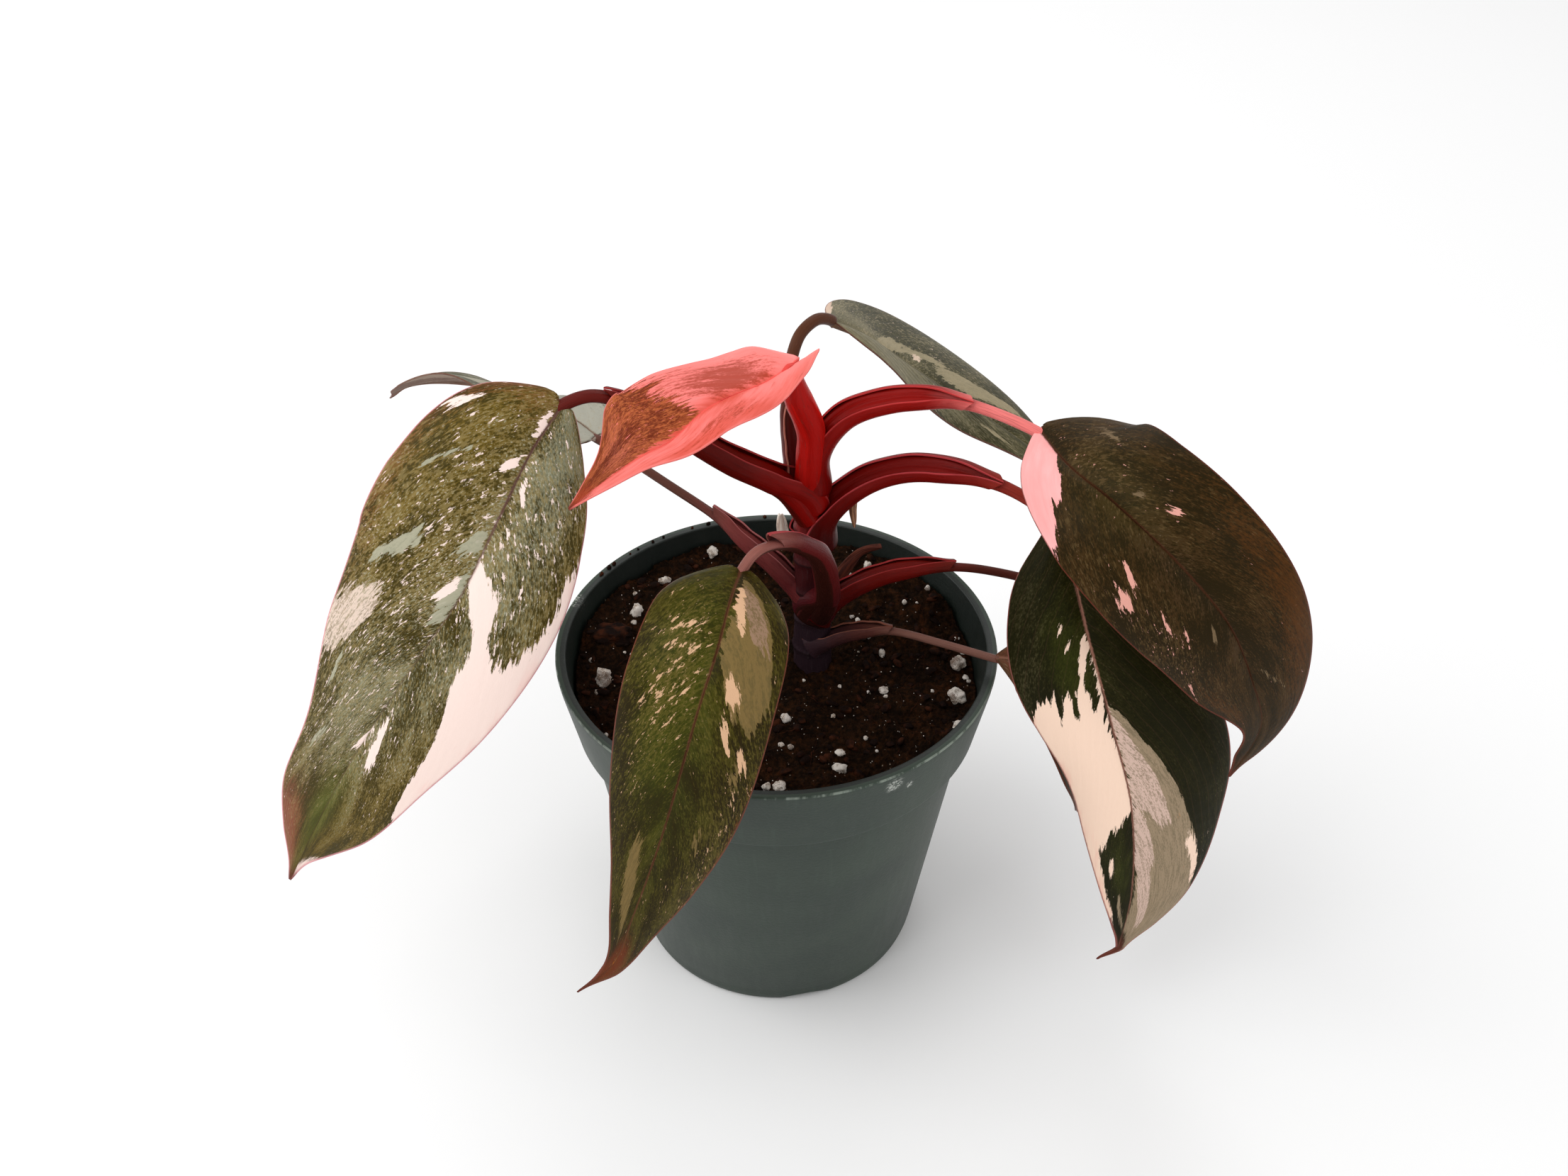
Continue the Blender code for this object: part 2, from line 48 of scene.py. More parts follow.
def smooth(knots, values, t):  # a smooth curve through values, carried on straight past its ends
    last = len(knots) - 1

    def slope(k):
        a, b = max(k - 1, 0), min(k + 1, last)
        return (values[b] - values[a]) / (knots[b] - knots[a])

    if t <= knots[0]:
        return values[0] + slope(0) * (t - knots[0])
    if t >= knots[-1]:
        return values[-1] + slope(last) * (t - knots[-1])
    i = bisect.bisect_right(knots, t) - 1
    gap = knots[i + 1] - knots[i]
    x = (t - knots[i]) / gap
    ease = x * x * (3 - 2 * x)
    bend = slope(i) * (gap * x * (1 - x) ** 2) - slope(i + 1) * (gap * x * x * (1 - x))
    return values[i] * (1 - ease) + values[i + 1] * ease + bend


def rise(low, high, x):  # 0 below low, 1 above high, smooth between
    x = min(max((x - low) / (high - low), 0.0), 1.0)
    return x * x * (3 - 2 * x)


def bump(x, width):  # 1 at x = 0, fading over width
    return math.exp(-((x / width) ** 2))


class Path:
    def __init__(self, points):
        self.points = [Vector(p) for p in points]
        gaps = [(b - a).length for a, b in zip(self.points, self.points[1:])]
        self.length = sum(gaps)
        self.knots = [sum(gaps[:i]) / self.length for i in range(len(gaps) + 1)]

    def at(self, t):
        return smooth(self.knots, self.points, t)

    def along(self, t, step=0.004):
        return (self.at(t + step) - self.at(t - step)).normalized()


def grid(rows, columns, uvName="", colours=()):  # a flat sheet to roll or bend
    bm = bmesh.new()  # layers come first, as adding one later would lose the vertices
    if uvName:
        bm.loops.layers.uv.new(uvName)
        bm.verts.layers.deform.verify()
    for name in colours:
        bm.verts.layers.float_color.new(name)
    bmesh.ops.create_grid(bm, x_segments=rows, y_segments=columns, size=1.0)
    bm.verts.index_update()  # vertices come with (u, v), u from 0 to 1 and v from -1 to 1
    return bm, [(vert, (vert.co.x + 1) / 2, vert.co.y) for vert in bm.verts]


def layOut(bm, uvName, places, sides=None, apart=300):  # a negative side gets noise of its own
    layer = bm.loops.layers.uv[uvName]
    for face in bm.faces:
        shift = apart if sides and min(sides[loop.vert.index] for loop in face.loops) < -0.001 else 0
        for loop in face.loops:
            x, y = places[loop.vert.index]
            loop[layer].uv = (x, y + shift)


def wrapUp(bm):  # closes a sheet that was rolled into a tube
    bmesh.ops.remove_doubles(bm, verts=bm.verts, dist=0.001)
    bmesh.ops.holes_fill(bm, edges=[e for e in bm.edges if e.is_boundary], sides=0)
    bmesh.ops.recalc_face_normals(bm, faces=bm.faces)


def meshFrom(bm, name):
    mesh = bpy.data.meshes.new(name)
    bm.to_mesh(mesh)
    bm.free()
    return mesh


def addObject(name, data):
    obj = bpy.data.objects.new(name, data)
    scene.collection.objects.link(obj)
    return obj


def piece(name, bm, paints, nodes, slot, sharp=50):
    bmesh.ops.scale(bm, vec=(mm, mm, mm), verts=bm.verts)
    mesh = meshFrom(bm, name)
    mesh.shade_smooth()
    mesh.set_sharp_from_angle(angle=math.radians(sharp))
    for paint in paints:
        mesh.materials.append(paint.material)
    obj = addObject(name, mesh)
    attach(obj, "root")
    if nodes:
        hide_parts(*nodes)
    return obj


def thicken(obj, thickness):  # both ways from the sheet, in millimetres
    wall = obj.modifiers.new("Thickness", "SOLIDIFY")
    wall.thickness, wall.offset = thickness * mm, 0.0
    return wall


def rgb(red, green, blue):  # a screen colour, 0 to 255, as the shader wants it
    return tuple((c / 255 / 12.92 if c < 10.3 else ((c / 255 + 0.055) / 1.055) ** 2.4)
                 for c in (red, green, blue)) + (1.0,)


class Wire:
    def __init__(self, paint, socket):
        self.paint, self.socket = paint, socket

    def __add__(self, other):
        return self.paint.maths("ADD", self, other)

    def __sub__(self, other):
        return self.paint.maths("SUBTRACT", self, other)

    def __rsub__(self, other):
        return self.paint.maths("SUBTRACT", other, self)

    def __mul__(self, other):
        return self.paint.maths("MULTIPLY", self, other)


class Paint:
    def __init__(self, name, gloss=0.3, roughness=0.5):
        self.material = bpy.data.materials.new(name)
        self.material.use_nodes = True
        self.tree = self.material.node_tree
        self.shader = self.tree.nodes["Principled BSDF"]
        self.shader.inputs["Roughness"].default_value = roughness
        self.shader.inputs["Specular IOR Level"].default_value = gloss
        self.colour = None  # the colour so far

    def feed(self, socket, value):
        if isinstance(value, Wire):
            self.tree.links.new(value.socket, socket)
        else:
            socket.default_value = value

    def node(self, kind, settings=None, inputs=None, output=0):
        made = self.tree.nodes.new("ShaderNode" + kind)
        for name, value in (settings or {}).items():
            setattr(made, name, value)
        for key, value in (inputs or {}).items():
            self.feed(made.inputs[key], value)
        return Wire(self, made.outputs[output])

    def maths(self, operation, *values):
        return self.node("Math", {"operation": operation}, dict(enumerate(values)))

    def mix(self, a, b, mask):
        return self.node("Mix", {"data_type": "RGBA"}, {0: mask, 6: a, 7: b}, 2)

    def step(self, value, low, high):
        return self.node("MapRange", {"interpolation_type": "SMOOTHSTEP"}, {0: value, 1: low, 2: high})

    def blend(self, a, b, value, low, high, share=1.0):  # from a to b as a value rises from low to high
        mask = self.step(value, low, high)
        return self.mix(a, b, mask if share == 1.0 else mask * share)

    def lay(self, tone, mask):
        self.colour = self.mix(self.colour, tone, mask)

    def over(self, tone, value, low, high, share=1.0):
        self.colour = self.blend(self.colour, tone, value, low, high, share)

    def uv(self, name):
        return self.node("UVMap", {"uv_map": name})

    def place(self):  # object coordinates in millimetres
        spot = self.node("TexCoord", output=3)
        return self.node("VectorMath", {"operation": "SCALE"}, {0: spot, 3: 1 / mm})

    def parts(self, kind, value):
        split = self.node(kind, inputs={0: value}).socket.node.outputs
        return [Wire(self, split[i]) for i in range(3)]

    def xyz(self, vector):
        return self.parts("SeparateXYZ", vector)

    def attribute(self, name):  # a painted attribute's red, green, blue and alpha
        read = self.node("Attribute", {"attribute_name": name})
        return [*self.parts("SeparateColor", read), Wire(self, read.socket.node.outputs["Alpha"])]

    def scaled(self, spot, sizes, shift):
        return self.node("VectorMath", {"operation": "MULTIPLY_ADD"},
                         {0: spot, 1: tuple(1 / size for size in sizes), 2: shift})

    def grain(self, spot, size, seed=0.0, detail=2.0, rough=0.5):  # noise, size in mm each way
        sizes = size if isinstance(size, tuple) else (size, size, size)
        vector = self.scaled(spot, sizes, (seed * 7.31, seed * 3.17, seed * 1.73))
        return self.node("TexNoise", inputs={"Vector": vector, "Scale": 1.0, "Detail": detail,
                                             "Roughness": rough})

    def cells(self, spot, size, shift):  # distance to the cell's centre, and its random value
        near = self.node("TexVoronoi", inputs={"Vector": self.scaled(spot, (size,) * 3, shift), "Scale": 1.0})
        return near, self.parts("SeparateColor", Wire(self, near.socket.node.outputs["Color"]))[0]

    def finish(self, roughness=None, height=None, depth=0.1):  # depth in mm
        self.feed(self.shader.inputs["Base Color"], self.colour)
        if roughness:
            self.feed(self.shader.inputs["Roughness"], roughness)
        if height:
            bumped = self.node("Bump", inputs={"Strength": 1.0, "Distance": depth * mm, "Height": height})
            self.feed(self.shader.inputs["Normal"], bumped)
        return self


blade = {
    "rows": 170, "columns": 60, "crowd": 1.15,  # columns stand closer by the midrib
    "thick": 0.5, "ribThick": 1.5, "marginThick": 0.3, "marginReach": 1.5,
    "groove": 0.35, "ribWidth": 1.1, "quilt": 0.13, "veinGap": 2.7,
    "widthAt": (0.0, 0.06, 0.2, 0.38, 0.56, 0.74, 0.9, 1.0), "tipWidth": 0.4, "footWidth": 0.2,
    "sweep": 0.10, "roundBase": 0.08, "dripAt": (0.86, 0.97), "hookAt": (0.955, 1.0),
    "slant": (0.7, 2.3),  # how steeply the side veins leave the midrib, at the base and added by the tip
    "veinScale": 1.7, "strokeLean": 1.3, "strokeScale": 1.64, "markStretch": (1.0, 0.22), "markLimit": 3,
    "green": rgb(84, 92, 30), "blush": rgb(244, 146, 142), "spot": rgb(206, 122, 40), "tip": rgb(112, 50, 36),
    "under": rgb(142, 84, 74),
}

# Marks are outlines in (share of the midrib, share of the half width), the second one
# positive on the side that is right of the midrib when the tip points away.
# Tints are soft spots: (u, v, reach along, reach across, strength); sheen tints place a painted sheen,
# greying the blade where it catches the light.
blades = {
    "left": dict(
        midrib=((-45, -10, 165), (-51, -19, 159), (-57, -29, 150), (-65, -39, 137), (-80, -46, 117),
                (-96, -48, 92), (-115, -45, 56)),
        faces=((0.36, -0.67, 0.65), (-0.21, -0.92, 0.33), (-0.3, -0.95, 0.1)),
        left=(5.5, 13, 20.5, 21.5, 17, 12, 3), right=(7, 19, 27.5, 23.5, 14.5, 12, 5.5), lobes=(4, 8),
        fold=(10, 10), curl=(-22, -22), wave=(1.0, 1.5, 0.6), round=0.12,
        ground=(rgb(62, 52, 10), rgb(114, 92, 30)), grey=rgb(138, 142, 120), warm=rgb(132, 72, 48),
        milky=rgb(176, 172, 148), pale=rgb(254, 230, 220), blush=rgb(250, 205, 196), rib=rgb(104, 72, 66),
        margin=rgb(226, 150, 158), mottle=0.9, ribFade=0.45, lilac=rgb(230, 208, 192),
        paleMarks=(
            ((0.17, -1.1), (0.175, -0.97), (0.2, -0.9), (0.24, -0.88), (0.27, -0.86), (0.3, -0.8),
             (0.325, -0.72), (0.345, -0.6), (0.34, -0.5), (0.33, -0.42), (0.305, -0.37), (0.29, -0.36),
             (0.283, -0.25), (0.278, -0.12), (0.262, -0.04), (0.245, 0.0), (0.3, 0.0), (0.318, -0.07),
             (0.33, -0.15), (0.345, -0.27), (0.362, -0.38), (0.385, -0.41), (0.4, -0.38), (0.42, -0.43),
             (0.44, -0.5), (0.47, -0.6), (0.5, -0.67), (0.55, -0.75), (0.6, -0.81), (0.65, -0.92),
             (0.69, -1.1)),
            ((0.02, 0.1), (0.03, 0.17), (0.05, 0.15), (0.07, 0.08), (0.06, 0.03), (0.04, 0.05)),
            ((0.1, 0.05), (0.12, 0.13), (0.15, 0.21), (0.135, 0.11), (0.115, 0.05)),
            ((0.3, 0.08), (0.32, 0.15), (0.35, 0.22), (0.345, 0.13), (0.325, 0.07)),
            ((0.125, -0.09), (0.15, -0.09), (0.17, -0.15), (0.165, -0.18), (0.145, -0.14)),
            ((0.2, -0.11), (0.215, -0.2), (0.222, -0.16)), ((0.245, -0.45), (0.27, -0.54), (0.265, -0.48)),
            ((0.535, -0.11), (0.57, -0.1), (0.61, -0.13), (0.65, -0.22), (0.648, -0.28), (0.62, -0.31),
             (0.6, -0.24), (0.57, -0.17)),
            ((0.59, -0.05), (0.6, 0.04), (0.63, 0.09), (0.64, 0.04), (0.615, -0.01)),
            ((0.05, -0.42), (0.06, -0.52), (0.053, -0.55)),
            ((0.075, 0.78), (0.082, 0.97), (0.095, 0.9), (0.09, 0.8)),
            ((0.865, -1.1), (0.88, -0.95), (0.93, -0.5), (0.955, -0.2), (0.99, -0.6), (0.95, -1.1)),
        ),
        milkyMarks=(
            ((0.24, 0.49), (0.25, 0.57), (0.27, 0.67), (0.29, 0.77), (0.312, 0.8), (0.315, 0.74),
             (0.3, 0.66), (0.29, 0.57), (0.268, 0.47)),
            ((0.215, 0.04), (0.235, 0.13), (0.27, 0.21), (0.265, 0.1), (0.25, 0.03)),
            ((0.27, 0.02), (0.3, 0.08), (0.33, 0.13), (0.35, 0.15), (0.385, 0.08), (0.37, 0.02),
             (0.32, 0.01)), ((0.59, 0.61), (0.605, 0.71), (0.64, 0.77), (0.63, 0.7), (0.61, 0.61)),
            ((0.45, 0.71), (0.46, 0.76), (0.5, 0.81), (0.5, 0.77)),
            ((0.13, 0.46), (0.145, 0.62), (0.162, 0.71), (0.15, 0.58)),
        ),
        lilacMarks=(
            ((0.345, 0.62), (0.355, 0.8), (0.37, 0.97), (0.41, 1.1), (0.46, 1.0), (0.45, 0.82), (0.43, 0.7),
             (0.41, 0.63), (0.39, 0.57), (0.37, 0.6)),
        ),
        rustMarks=(
            ((0.235, -1.0), (0.24, -0.93), (0.246, -0.98)), ((0.46, -0.87), (0.465, -0.83), (0.47, -0.86)),
        ),
        flecks=0.26,
        fleckTints=((0.25, 0.3, 0.14, 0.5, 0.12), (0.22, -0.5, 0.18, 0.6, 0.12),
                    (0.55, 0.4, 0.25, 0.8, 0.14), (0.85, 0.0, 0.12, 0.7, -0.3)), faint=rgb(154, 134, 84),
        sheenTints=((0.55, 0.35, 0.24, 0.8, 0.55), (0.2, -0.4, 0.3, 0.5, 0.5), (0.05, -0.5, 0.1, 0.5, 0.3)),
        warmTints=((0.88, 0.9, 0.16, 0.5, 1.1), (0.03, 0.5, 0.05, 0.9, 0.4), (0.2, 1.0, 0.2, 0.25, 0.5)),
        drip=0.3, greenTints=((0.8, 0.05, 0.16, 0.4, 0.8),)),
    "front": dict(
        midrib=((-7, -36, 141), (-9, -48, 142), (-11, -58, 139), (-15, -66, 129), (-23, -70, 99),
                (-31, -70, 72), (-37, -68, 53), (-46, -66, 41)),
        faces=((0.2, 0.04, 0.97), (-0.16, -0.98, 0.11), (-0.1, -0.99, -0.1)),
        left=(6, 12, 15, 15, 11, 5, 2), right=(6, 14, 17, 14.5, 8, 3.4, 1.2), lobes=(4, 6), fold=(10, 10),
        curl=(-24, -24), wave=(0.8, 1.5, 0.0), round=0.12, ground=(rgb(38, 30, 4), rgb(66, 58, 12)),
        grey=rgb(70, 66, 40), warm=rgb(108, 48, 20), gloss=0.06, green=rgb(60, 68, 10),
        milky=rgb(124, 102, 60), pale=rgb(214, 172, 136), blush=rgb(204, 146, 118), rib=rgb(98, 58, 40),
        margin=rgb(120, 62, 50), mottle=0.9,
        paleMarks=(
            ((0.06, -0.16), (0.09, -0.09), (0.11, -0.11), (0.14, -0.19), (0.157, -0.28), (0.148, -0.32),
             (0.12, -0.26), (0.09, -0.23)),
            ((0.2, -0.28), (0.212, -0.24), (0.232, -0.26), (0.252, -0.31), (0.245, -0.46), (0.23, -0.5),
             (0.215, -0.4)),
            ((0.26, -0.34), (0.28, -0.32), (0.3, -0.42), (0.312, -0.48), (0.305, -0.52), (0.28, -0.46),
             (0.27, -0.4)), ((0.285, -0.66), (0.3, -0.6), (0.312, -0.68), (0.328, -0.77), (0.308, -0.8)),
            ((0.18, 0.19), (0.19, 0.25), (0.203, 0.31), (0.198, 0.24)),
            ((0.24, 0.14), (0.255, 0.24), (0.272, 0.32), (0.262, 0.22)),
            ((0.285, 0.24), (0.3, 0.33), (0.315, 0.39), (0.305, 0.3)),
            ((0.147, 0.2), (0.15, 0.42), (0.158, 0.38), (0.156, 0.24)),
        ),
        milkyMarks=(
            ((0.03, -0.2), (0.06, -0.35), (0.09, -0.55), (0.13, -0.68), (0.17, -0.8), (0.2, -0.92),
             (0.22, -0.86), (0.24, -0.8), (0.26, -0.76), (0.263, -0.66), (0.25, -0.6), (0.258, -0.45),
             (0.25, -0.3), (0.22, -0.2), (0.2, -0.1), (0.16, -0.07), (0.12, -0.11), (0.08, -0.13),
             (0.05, -0.12)), ((0.3, -0.66), (0.33, -0.74), (0.36, -0.7), (0.34, -0.64)),
            ((0.52, 0.4), (0.51, 0.5), (0.54, 0.62), (0.6, 0.68), (0.66, 0.66), (0.7, 0.62), (0.74, 0.55),
             (0.78, 0.5), (0.76, 0.42), (0.7, 0.35), (0.64, 0.33), (0.58, 0.38)),
            ((0.46, -0.55), (0.5, -0.6), (0.51, -0.55), (0.48, -0.5)),
        ),
        rustMarks=(((0.865, -0.1), (0.86, 0.15), (0.87, 0.3), (0.885, 0.1)),), lilac=rgb(152, 122, 100),
        lilacMarks=(
            ((0.05, -0.14), (0.07, -0.35), (0.12, -0.6), (0.16, -0.7), (0.15, -0.4), (0.1, -0.2)),
        ),
        flecks=0.2,
        fleckTints=((0.2, 0.42, 0.1, 0.3, 0.3), (0.33, 0.5, 0.12, 0.5, 0.14), (0.45, -0.9, 0.2, 0.3, 0.2)),
        faint=rgb(98, 88, 36), drip=0.55, sheenTints=((0.45, -0.1, 0.2, 0.3, 0.3),),
        warmTints=((0.9, 0.0, 0.09, 1.5, 1.0), (0.5, -1.0, 0.3, 0.12, 0.5), (0.8, 0.0, 0.1, 0.8, 0.3)),
        greenTints=((0.25, 0.4, 0.3, 0.5, 0.7), (0.5, -0.2, 0.3, 0.5, 0.4))),
    "new": dict(
        fullLobes=True,
        midrib=((3, -6, 172), (-2, -9, 170), (-10, -14, 169), (-15, -18, 168), (-21, -24, 165),
                (-28, -28, 163), (-37, -31.4, 157.6), (-42, -33, 154)),
        faces=((-0.34, -0.05, 0.94), (-0.28, -0.23, 0.93), (-0.4, 0.0, 0.85)),
        left=(2.5, 6.5, 11, 9, 4.8, 3, 1.6), right=(3.5, 12.5, 13.5, 18.5, 19, 8.5, 3), lobes=(7.5, 3),
        fold=(11, 17), curl=(-10, -10), wave=(0.5, 1.0, 0.0), ground=(rgb(104, 36, 10), rgb(156, 74, 36)),
        grey=rgb(196, 104, 84), warm=rgb(150, 48, 24), milky=rgb(196, 96, 66), pale=rgb(248, 130, 124),
        blush=rgb(252, 172, 168), flush=rgb(212, 76, 58), rib=rgb(240, 96, 88), margin=rgb(246, 128, 122),
        mottle=0.8, green=rgb(132, 58, 24),
        paleMarks=(
            ((-0.2, -1.5), (-0.2, 1.5), (0.38, 1.5), (0.36, 0.95), (0.365, 0.72), (0.385, 0.6),
             (0.39, 0.45), (0.4, 0.2), (0.41, 0.0), (0.5, 0.05), (0.6, 0.05), (0.7, 0.03), (0.8, 0.05),
             (0.88, 0.0), (0.9, -0.4), (0.86, -1.5)),
        ),
        milkyMarks=(
            ((0.1, 0.12), (0.1, 0.35), (0.13, 0.62), (0.2, 0.78), (0.28, 0.7), (0.34, 0.5), (0.345, 0.3),
             (0.3, 0.1), (0.2, 0.04)), ((0.3, -0.75), (0.36, -0.7), (0.42, -0.55), (0.36, -0.6)),
        ),
        smears=rgb(164, 58, 36), flecks=0.3, faint=rgb(204, 112, 62),
        sheenTints=((0.72, 0.4, 0.12, 0.5, 0.5),), warmTints=((0.95, 0.0, 0.08, 1.5, 1.0),),
        greenTints=((0.4, -0.9, 0.5, 0.7, 0.8), (0.3, 0.0, 0.5, 0.2, 0.6), (0.95, 0.0, 0.2, 1.0, 0.5))),
    "top": dict(
        midrib=((13, 26, 166), (21, 34, 158), (31, 43, 146), (43, 51, 133), (55, 57, 121), (67, 61, 110),
                (82, 63, 97)), faces=((0.55, 0.24, 0.8), (0.74, -0.08, 0.67), (0.66, -0.16, 0.73)),
        left=(5, 10.5, 20.5, 23.5, 23, 17, 7), right=(4, 9, 12, 11, 9, 7, 3), lobes=(1, 2), fold=(6, 6),
        curl=(-12, -12), wave=(0.8, 1.5, 0.0), ground=(rgb(50, 47, 18), rgb(80, 74, 38)),
        grey=rgb(122, 114, 86), warm=rgb(96, 62, 44), round=0.12, milky=rgb(162, 148, 116),
        pale=rgb(222, 196, 172), blush=rgb(214, 176, 156), rib=rgb(120, 112, 88), margin=rgb(112, 70, 60),
        mottle=0.7,
        paleMarks=(
            ((-0.03, -0.55), (0.02, -0.6), (0.07, -0.75), (0.1, -0.95), (0.08, -1.2), (-0.06, -1.2)),
            ((0.35, -0.2), (0.36, -0.12), (0.39, -0.17), (0.395, -0.26), (0.37, -0.24)),
        ),
        milkyMarks=(
            ((0.18, 0.0), (0.22, 0.02), (0.3, -0.08), (0.33, -0.2), (0.32, -0.3), (0.27, -0.28),
             (0.22, -0.15)),
            ((0.44, -0.2), (0.5, -0.12), (0.6, -0.16), (0.66, -0.3), (0.75, -0.5), (0.8, -0.75),
             (0.74, -0.7), (0.66, -0.55), (0.58, -0.45), (0.5, -0.35), (0.46, -0.32)),
            ((0.55, 0.5), (0.62, 0.68), (0.7, 0.7), (0.64, 0.5)),
            ((0.3, -0.12), (0.37, -0.2), (0.45, -0.3), (0.5, -0.37), (0.46, -0.42), (0.38, -0.34),
             (0.31, -0.25)),
        ),
        flecks=0.2, fleckTints=((0.45, -0.7, 0.3, 0.4, 0.1),),
        sheenTints=((0.3, 0.5, 0.4, 0.5, 0.9), (0.1, 0.0, 0.12, 1.0, 0.8)),
        warmTints=((0.6, -1.0, 0.3, 0.1, 0.3),)),
    "right": dict(
        midrib=((56, -14, 161), (60, -27, 161), (68, -38, 159), (79, -47, 152), (91, -51, 139),
                (99, -50, 123), (105, -46, 106), (104, -38, 83)),
        faces=((-0.2, -0.2, 0.94), (0.25, -0.96, 0.13), (0.17, -0.91, -0.37)),
        left=(3, 18.5, 18.3, 17.5, 14.5, 6, 2), right=(4, 10.5, 17, 18, 13, 4, 2), lobes=(11, 4),
        fold=(20, 8), curl=(-24, -24), wave=(0.9, 1.5, 0.0), round=0.2, gloss=0.06,
        ground=(rgb(36, 26, 5), rgb(76, 52, 24)), grey=rgb(66, 50, 34), warm=rgb(84, 48, 12),
        milky=rgb(116, 96, 70), pale=rgb(222, 160, 146), blush=rgb(250, 180, 178), rib=rgb(74, 42, 26),
        margin=rgb(110, 52, 38), mottle=0.5,
        paleMarks=(
            ((0.28, 0.4), (0.3, 0.5), (0.327, 0.57), (0.32, 0.49), (0.3, 0.43)),
            ((0.293, 0.62), (0.3, 0.79), (0.32, 0.76), (0.333, 0.7), (0.315, 0.61)),
            ((0.293, -0.42), (0.288, -0.33), (0.295, -0.27), (0.306, -0.34)),
            ((0.38, 0.49), (0.395, 0.56), (0.415, 0.63), (0.405, 0.55)),
            ((0.43, 0.46), (0.45, 0.52), (0.468, 0.56), (0.45, 0.49)),
            ((0.415, 0.68), (0.43, 0.74), (0.425, 0.69)), ((0.53, 0.88), (0.56, 0.93), (0.55, 0.88)),
        ),
        blushMarks=(
            ((-0.05, -0.02), (0.03, 0.01), (0.06, 0.05), (0.09, 0.1), (0.12, 0.2), (0.14, 0.3),
             (0.152, 0.42), (0.148, 0.52), (0.147, 0.6), (0.158, 0.7), (0.167, 0.8), (0.17, 0.92),
             (0.16, 1.2), (0.0, 1.3), (-0.15, 0.6)),
        ),
        milkyMarks=(
            ((0.09, -0.62), (0.11, -0.52), (0.16, -0.55), (0.13, -0.62)),
            ((0.47, 0.17), (0.49, 0.25), (0.52, 0.32), (0.5, 0.23)),
            ((0.24, -0.3), (0.255, -0.22), (0.245, -0.2)),
            ((0.63, -0.2), (0.65, -0.5), (0.66, -0.6), (0.64, -0.4)),
        ),
        flecks=0.1, fleckTints=((0.4, 0.75, 0.2, 0.3, 0.24), (0.15, -0.3, 0.15, 0.4, 0.16)), drip=0.3,
        faint=rgb(94, 74, 44), sheenTints=((0.45, 0.05, 0.2, 0.3, 0.4), (0.85, -0.8, 0.1, 0.5, 0.2)),
        warmTints=((0.5, -0.85, 0.25, 0.35, 0.7), (0.65, 0.8, 0.12, 0.25, 0.5),
                   (0.94, 0.0, 0.06, 1.5, 0.6)),
        greenTints=((0.2, -0.3, 0.14, 0.5, 0.4), (0.22, 0.3, 0.1, 0.5, 0.3)), green=rgb(52, 48, 14)),
    "lower_right": dict(
        midrib=((62, -12, 137), (65, -20, 130), (69, -29, 117), (75, -37, 99), (82, -41, 76), (86, -41, 47),
                (86, -39, 20)), faces=((-0.16, -0.33, 0.93), (-0.06, -0.97, 0.23), (-0.06, -1.0, -0.08)),
        left=(8, 15, 20, 26, 21.5, 15, 5.5), right=(3, 12.5, 19, 14, 11.5, 7.2, 2), lobes=(6, 1),
        fold=(8, 8), curl=(-24, -24), wave=(0.8, 1.5, 0.0), round=0.1,
        ground=(rgb(24, 23, 3), rgb(42, 38, 10)), grey=rgb(78, 72, 50), warm=rgb(88, 44, 30),
        milky=rgb(158, 138, 112), pale=rgb(247, 216, 194), blush=rgb(238, 178, 160),
        lilac=rgb(214, 184, 170), gloss=0.06, rib=rgb(150, 104, 88), margin=rgb(164, 100, 92), mottle=0.45,
        paleMarks=(
            ((0.2, 0.04), (0.22, 0.12), (0.25, 0.2), (0.28, 0.27), (0.295, 0.34), (0.292, 0.42),
             (0.275, 0.5), (0.265, 0.58), (0.272, 0.66), (0.265, 0.74), (0.256, 0.8), (0.3, 1.1),
             (0.45, 1.1), (0.6, 1.15), (0.8, 1.1), (0.85, 0.85), (0.82, 0.8), (0.75, 0.84), (0.68, 0.82),
             (0.63, 0.8), (0.605, 0.76), (0.62, 0.71), (0.61, 0.62), (0.59, 0.5), (0.583, 0.42),
             (0.595, 0.32), (0.578, 0.1), (0.56, 0.0), (0.53, -0.02), (0.45, 0.0), (0.36, 0.0), (0.3, 0.0),
             (0.25, 0.01)), ((0.16, 0.24), (0.175, 0.3), (0.193, 0.36), (0.18, 0.28)),
            ((0.198, 0.2), (0.21, 0.28), (0.223, 0.31), (0.218, 0.24)),
            ((0.66, 0.52), (0.67, 0.64), (0.71, 0.66), (0.7, 0.55)),
            ((0.6, -0.68), (0.62, -0.6), (0.66, -0.74), (0.7, -0.85), (0.72, -0.95), (0.66, -0.86)),
        ),
        darkMarks=(
            ((0.235, 0.05), (0.26, 0.13), (0.29, 0.22), (0.31, 0.21), (0.342, 0.18), (0.33, 0.11),
             (0.3, 0.06), (0.26, 0.03)),
            ((0.31, -0.01), (0.34, 0.05), (0.37, 0.12), (0.362, 0.05), (0.4, 0.05), (0.423, 0.04),
             (0.41, -0.01)),
            ((0.2, 0.3), (0.25, 0.38), (0.3, 0.42), (0.335, 0.46), (0.325, 0.4), (0.29, 0.34)),
            ((0.24, 0.52), (0.28, 0.6), (0.315, 0.66), (0.3, 0.56), (0.27, 0.5)),
        ),
        milkyMarks=(
            ((0.33, -0.01), (0.37, -0.12), (0.42, -0.25), (0.47, -0.38), (0.52, -0.5), (0.57, -0.62),
             (0.62, -0.75), (0.68, -0.88), (0.75, -1.0), (0.85, -1.2), (0.99, -0.9), (0.99, 0.1),
             (0.9, 0.0), (0.8, -0.05), (0.6, -0.02), (0.5, 0.0), (0.4, 0.0)),
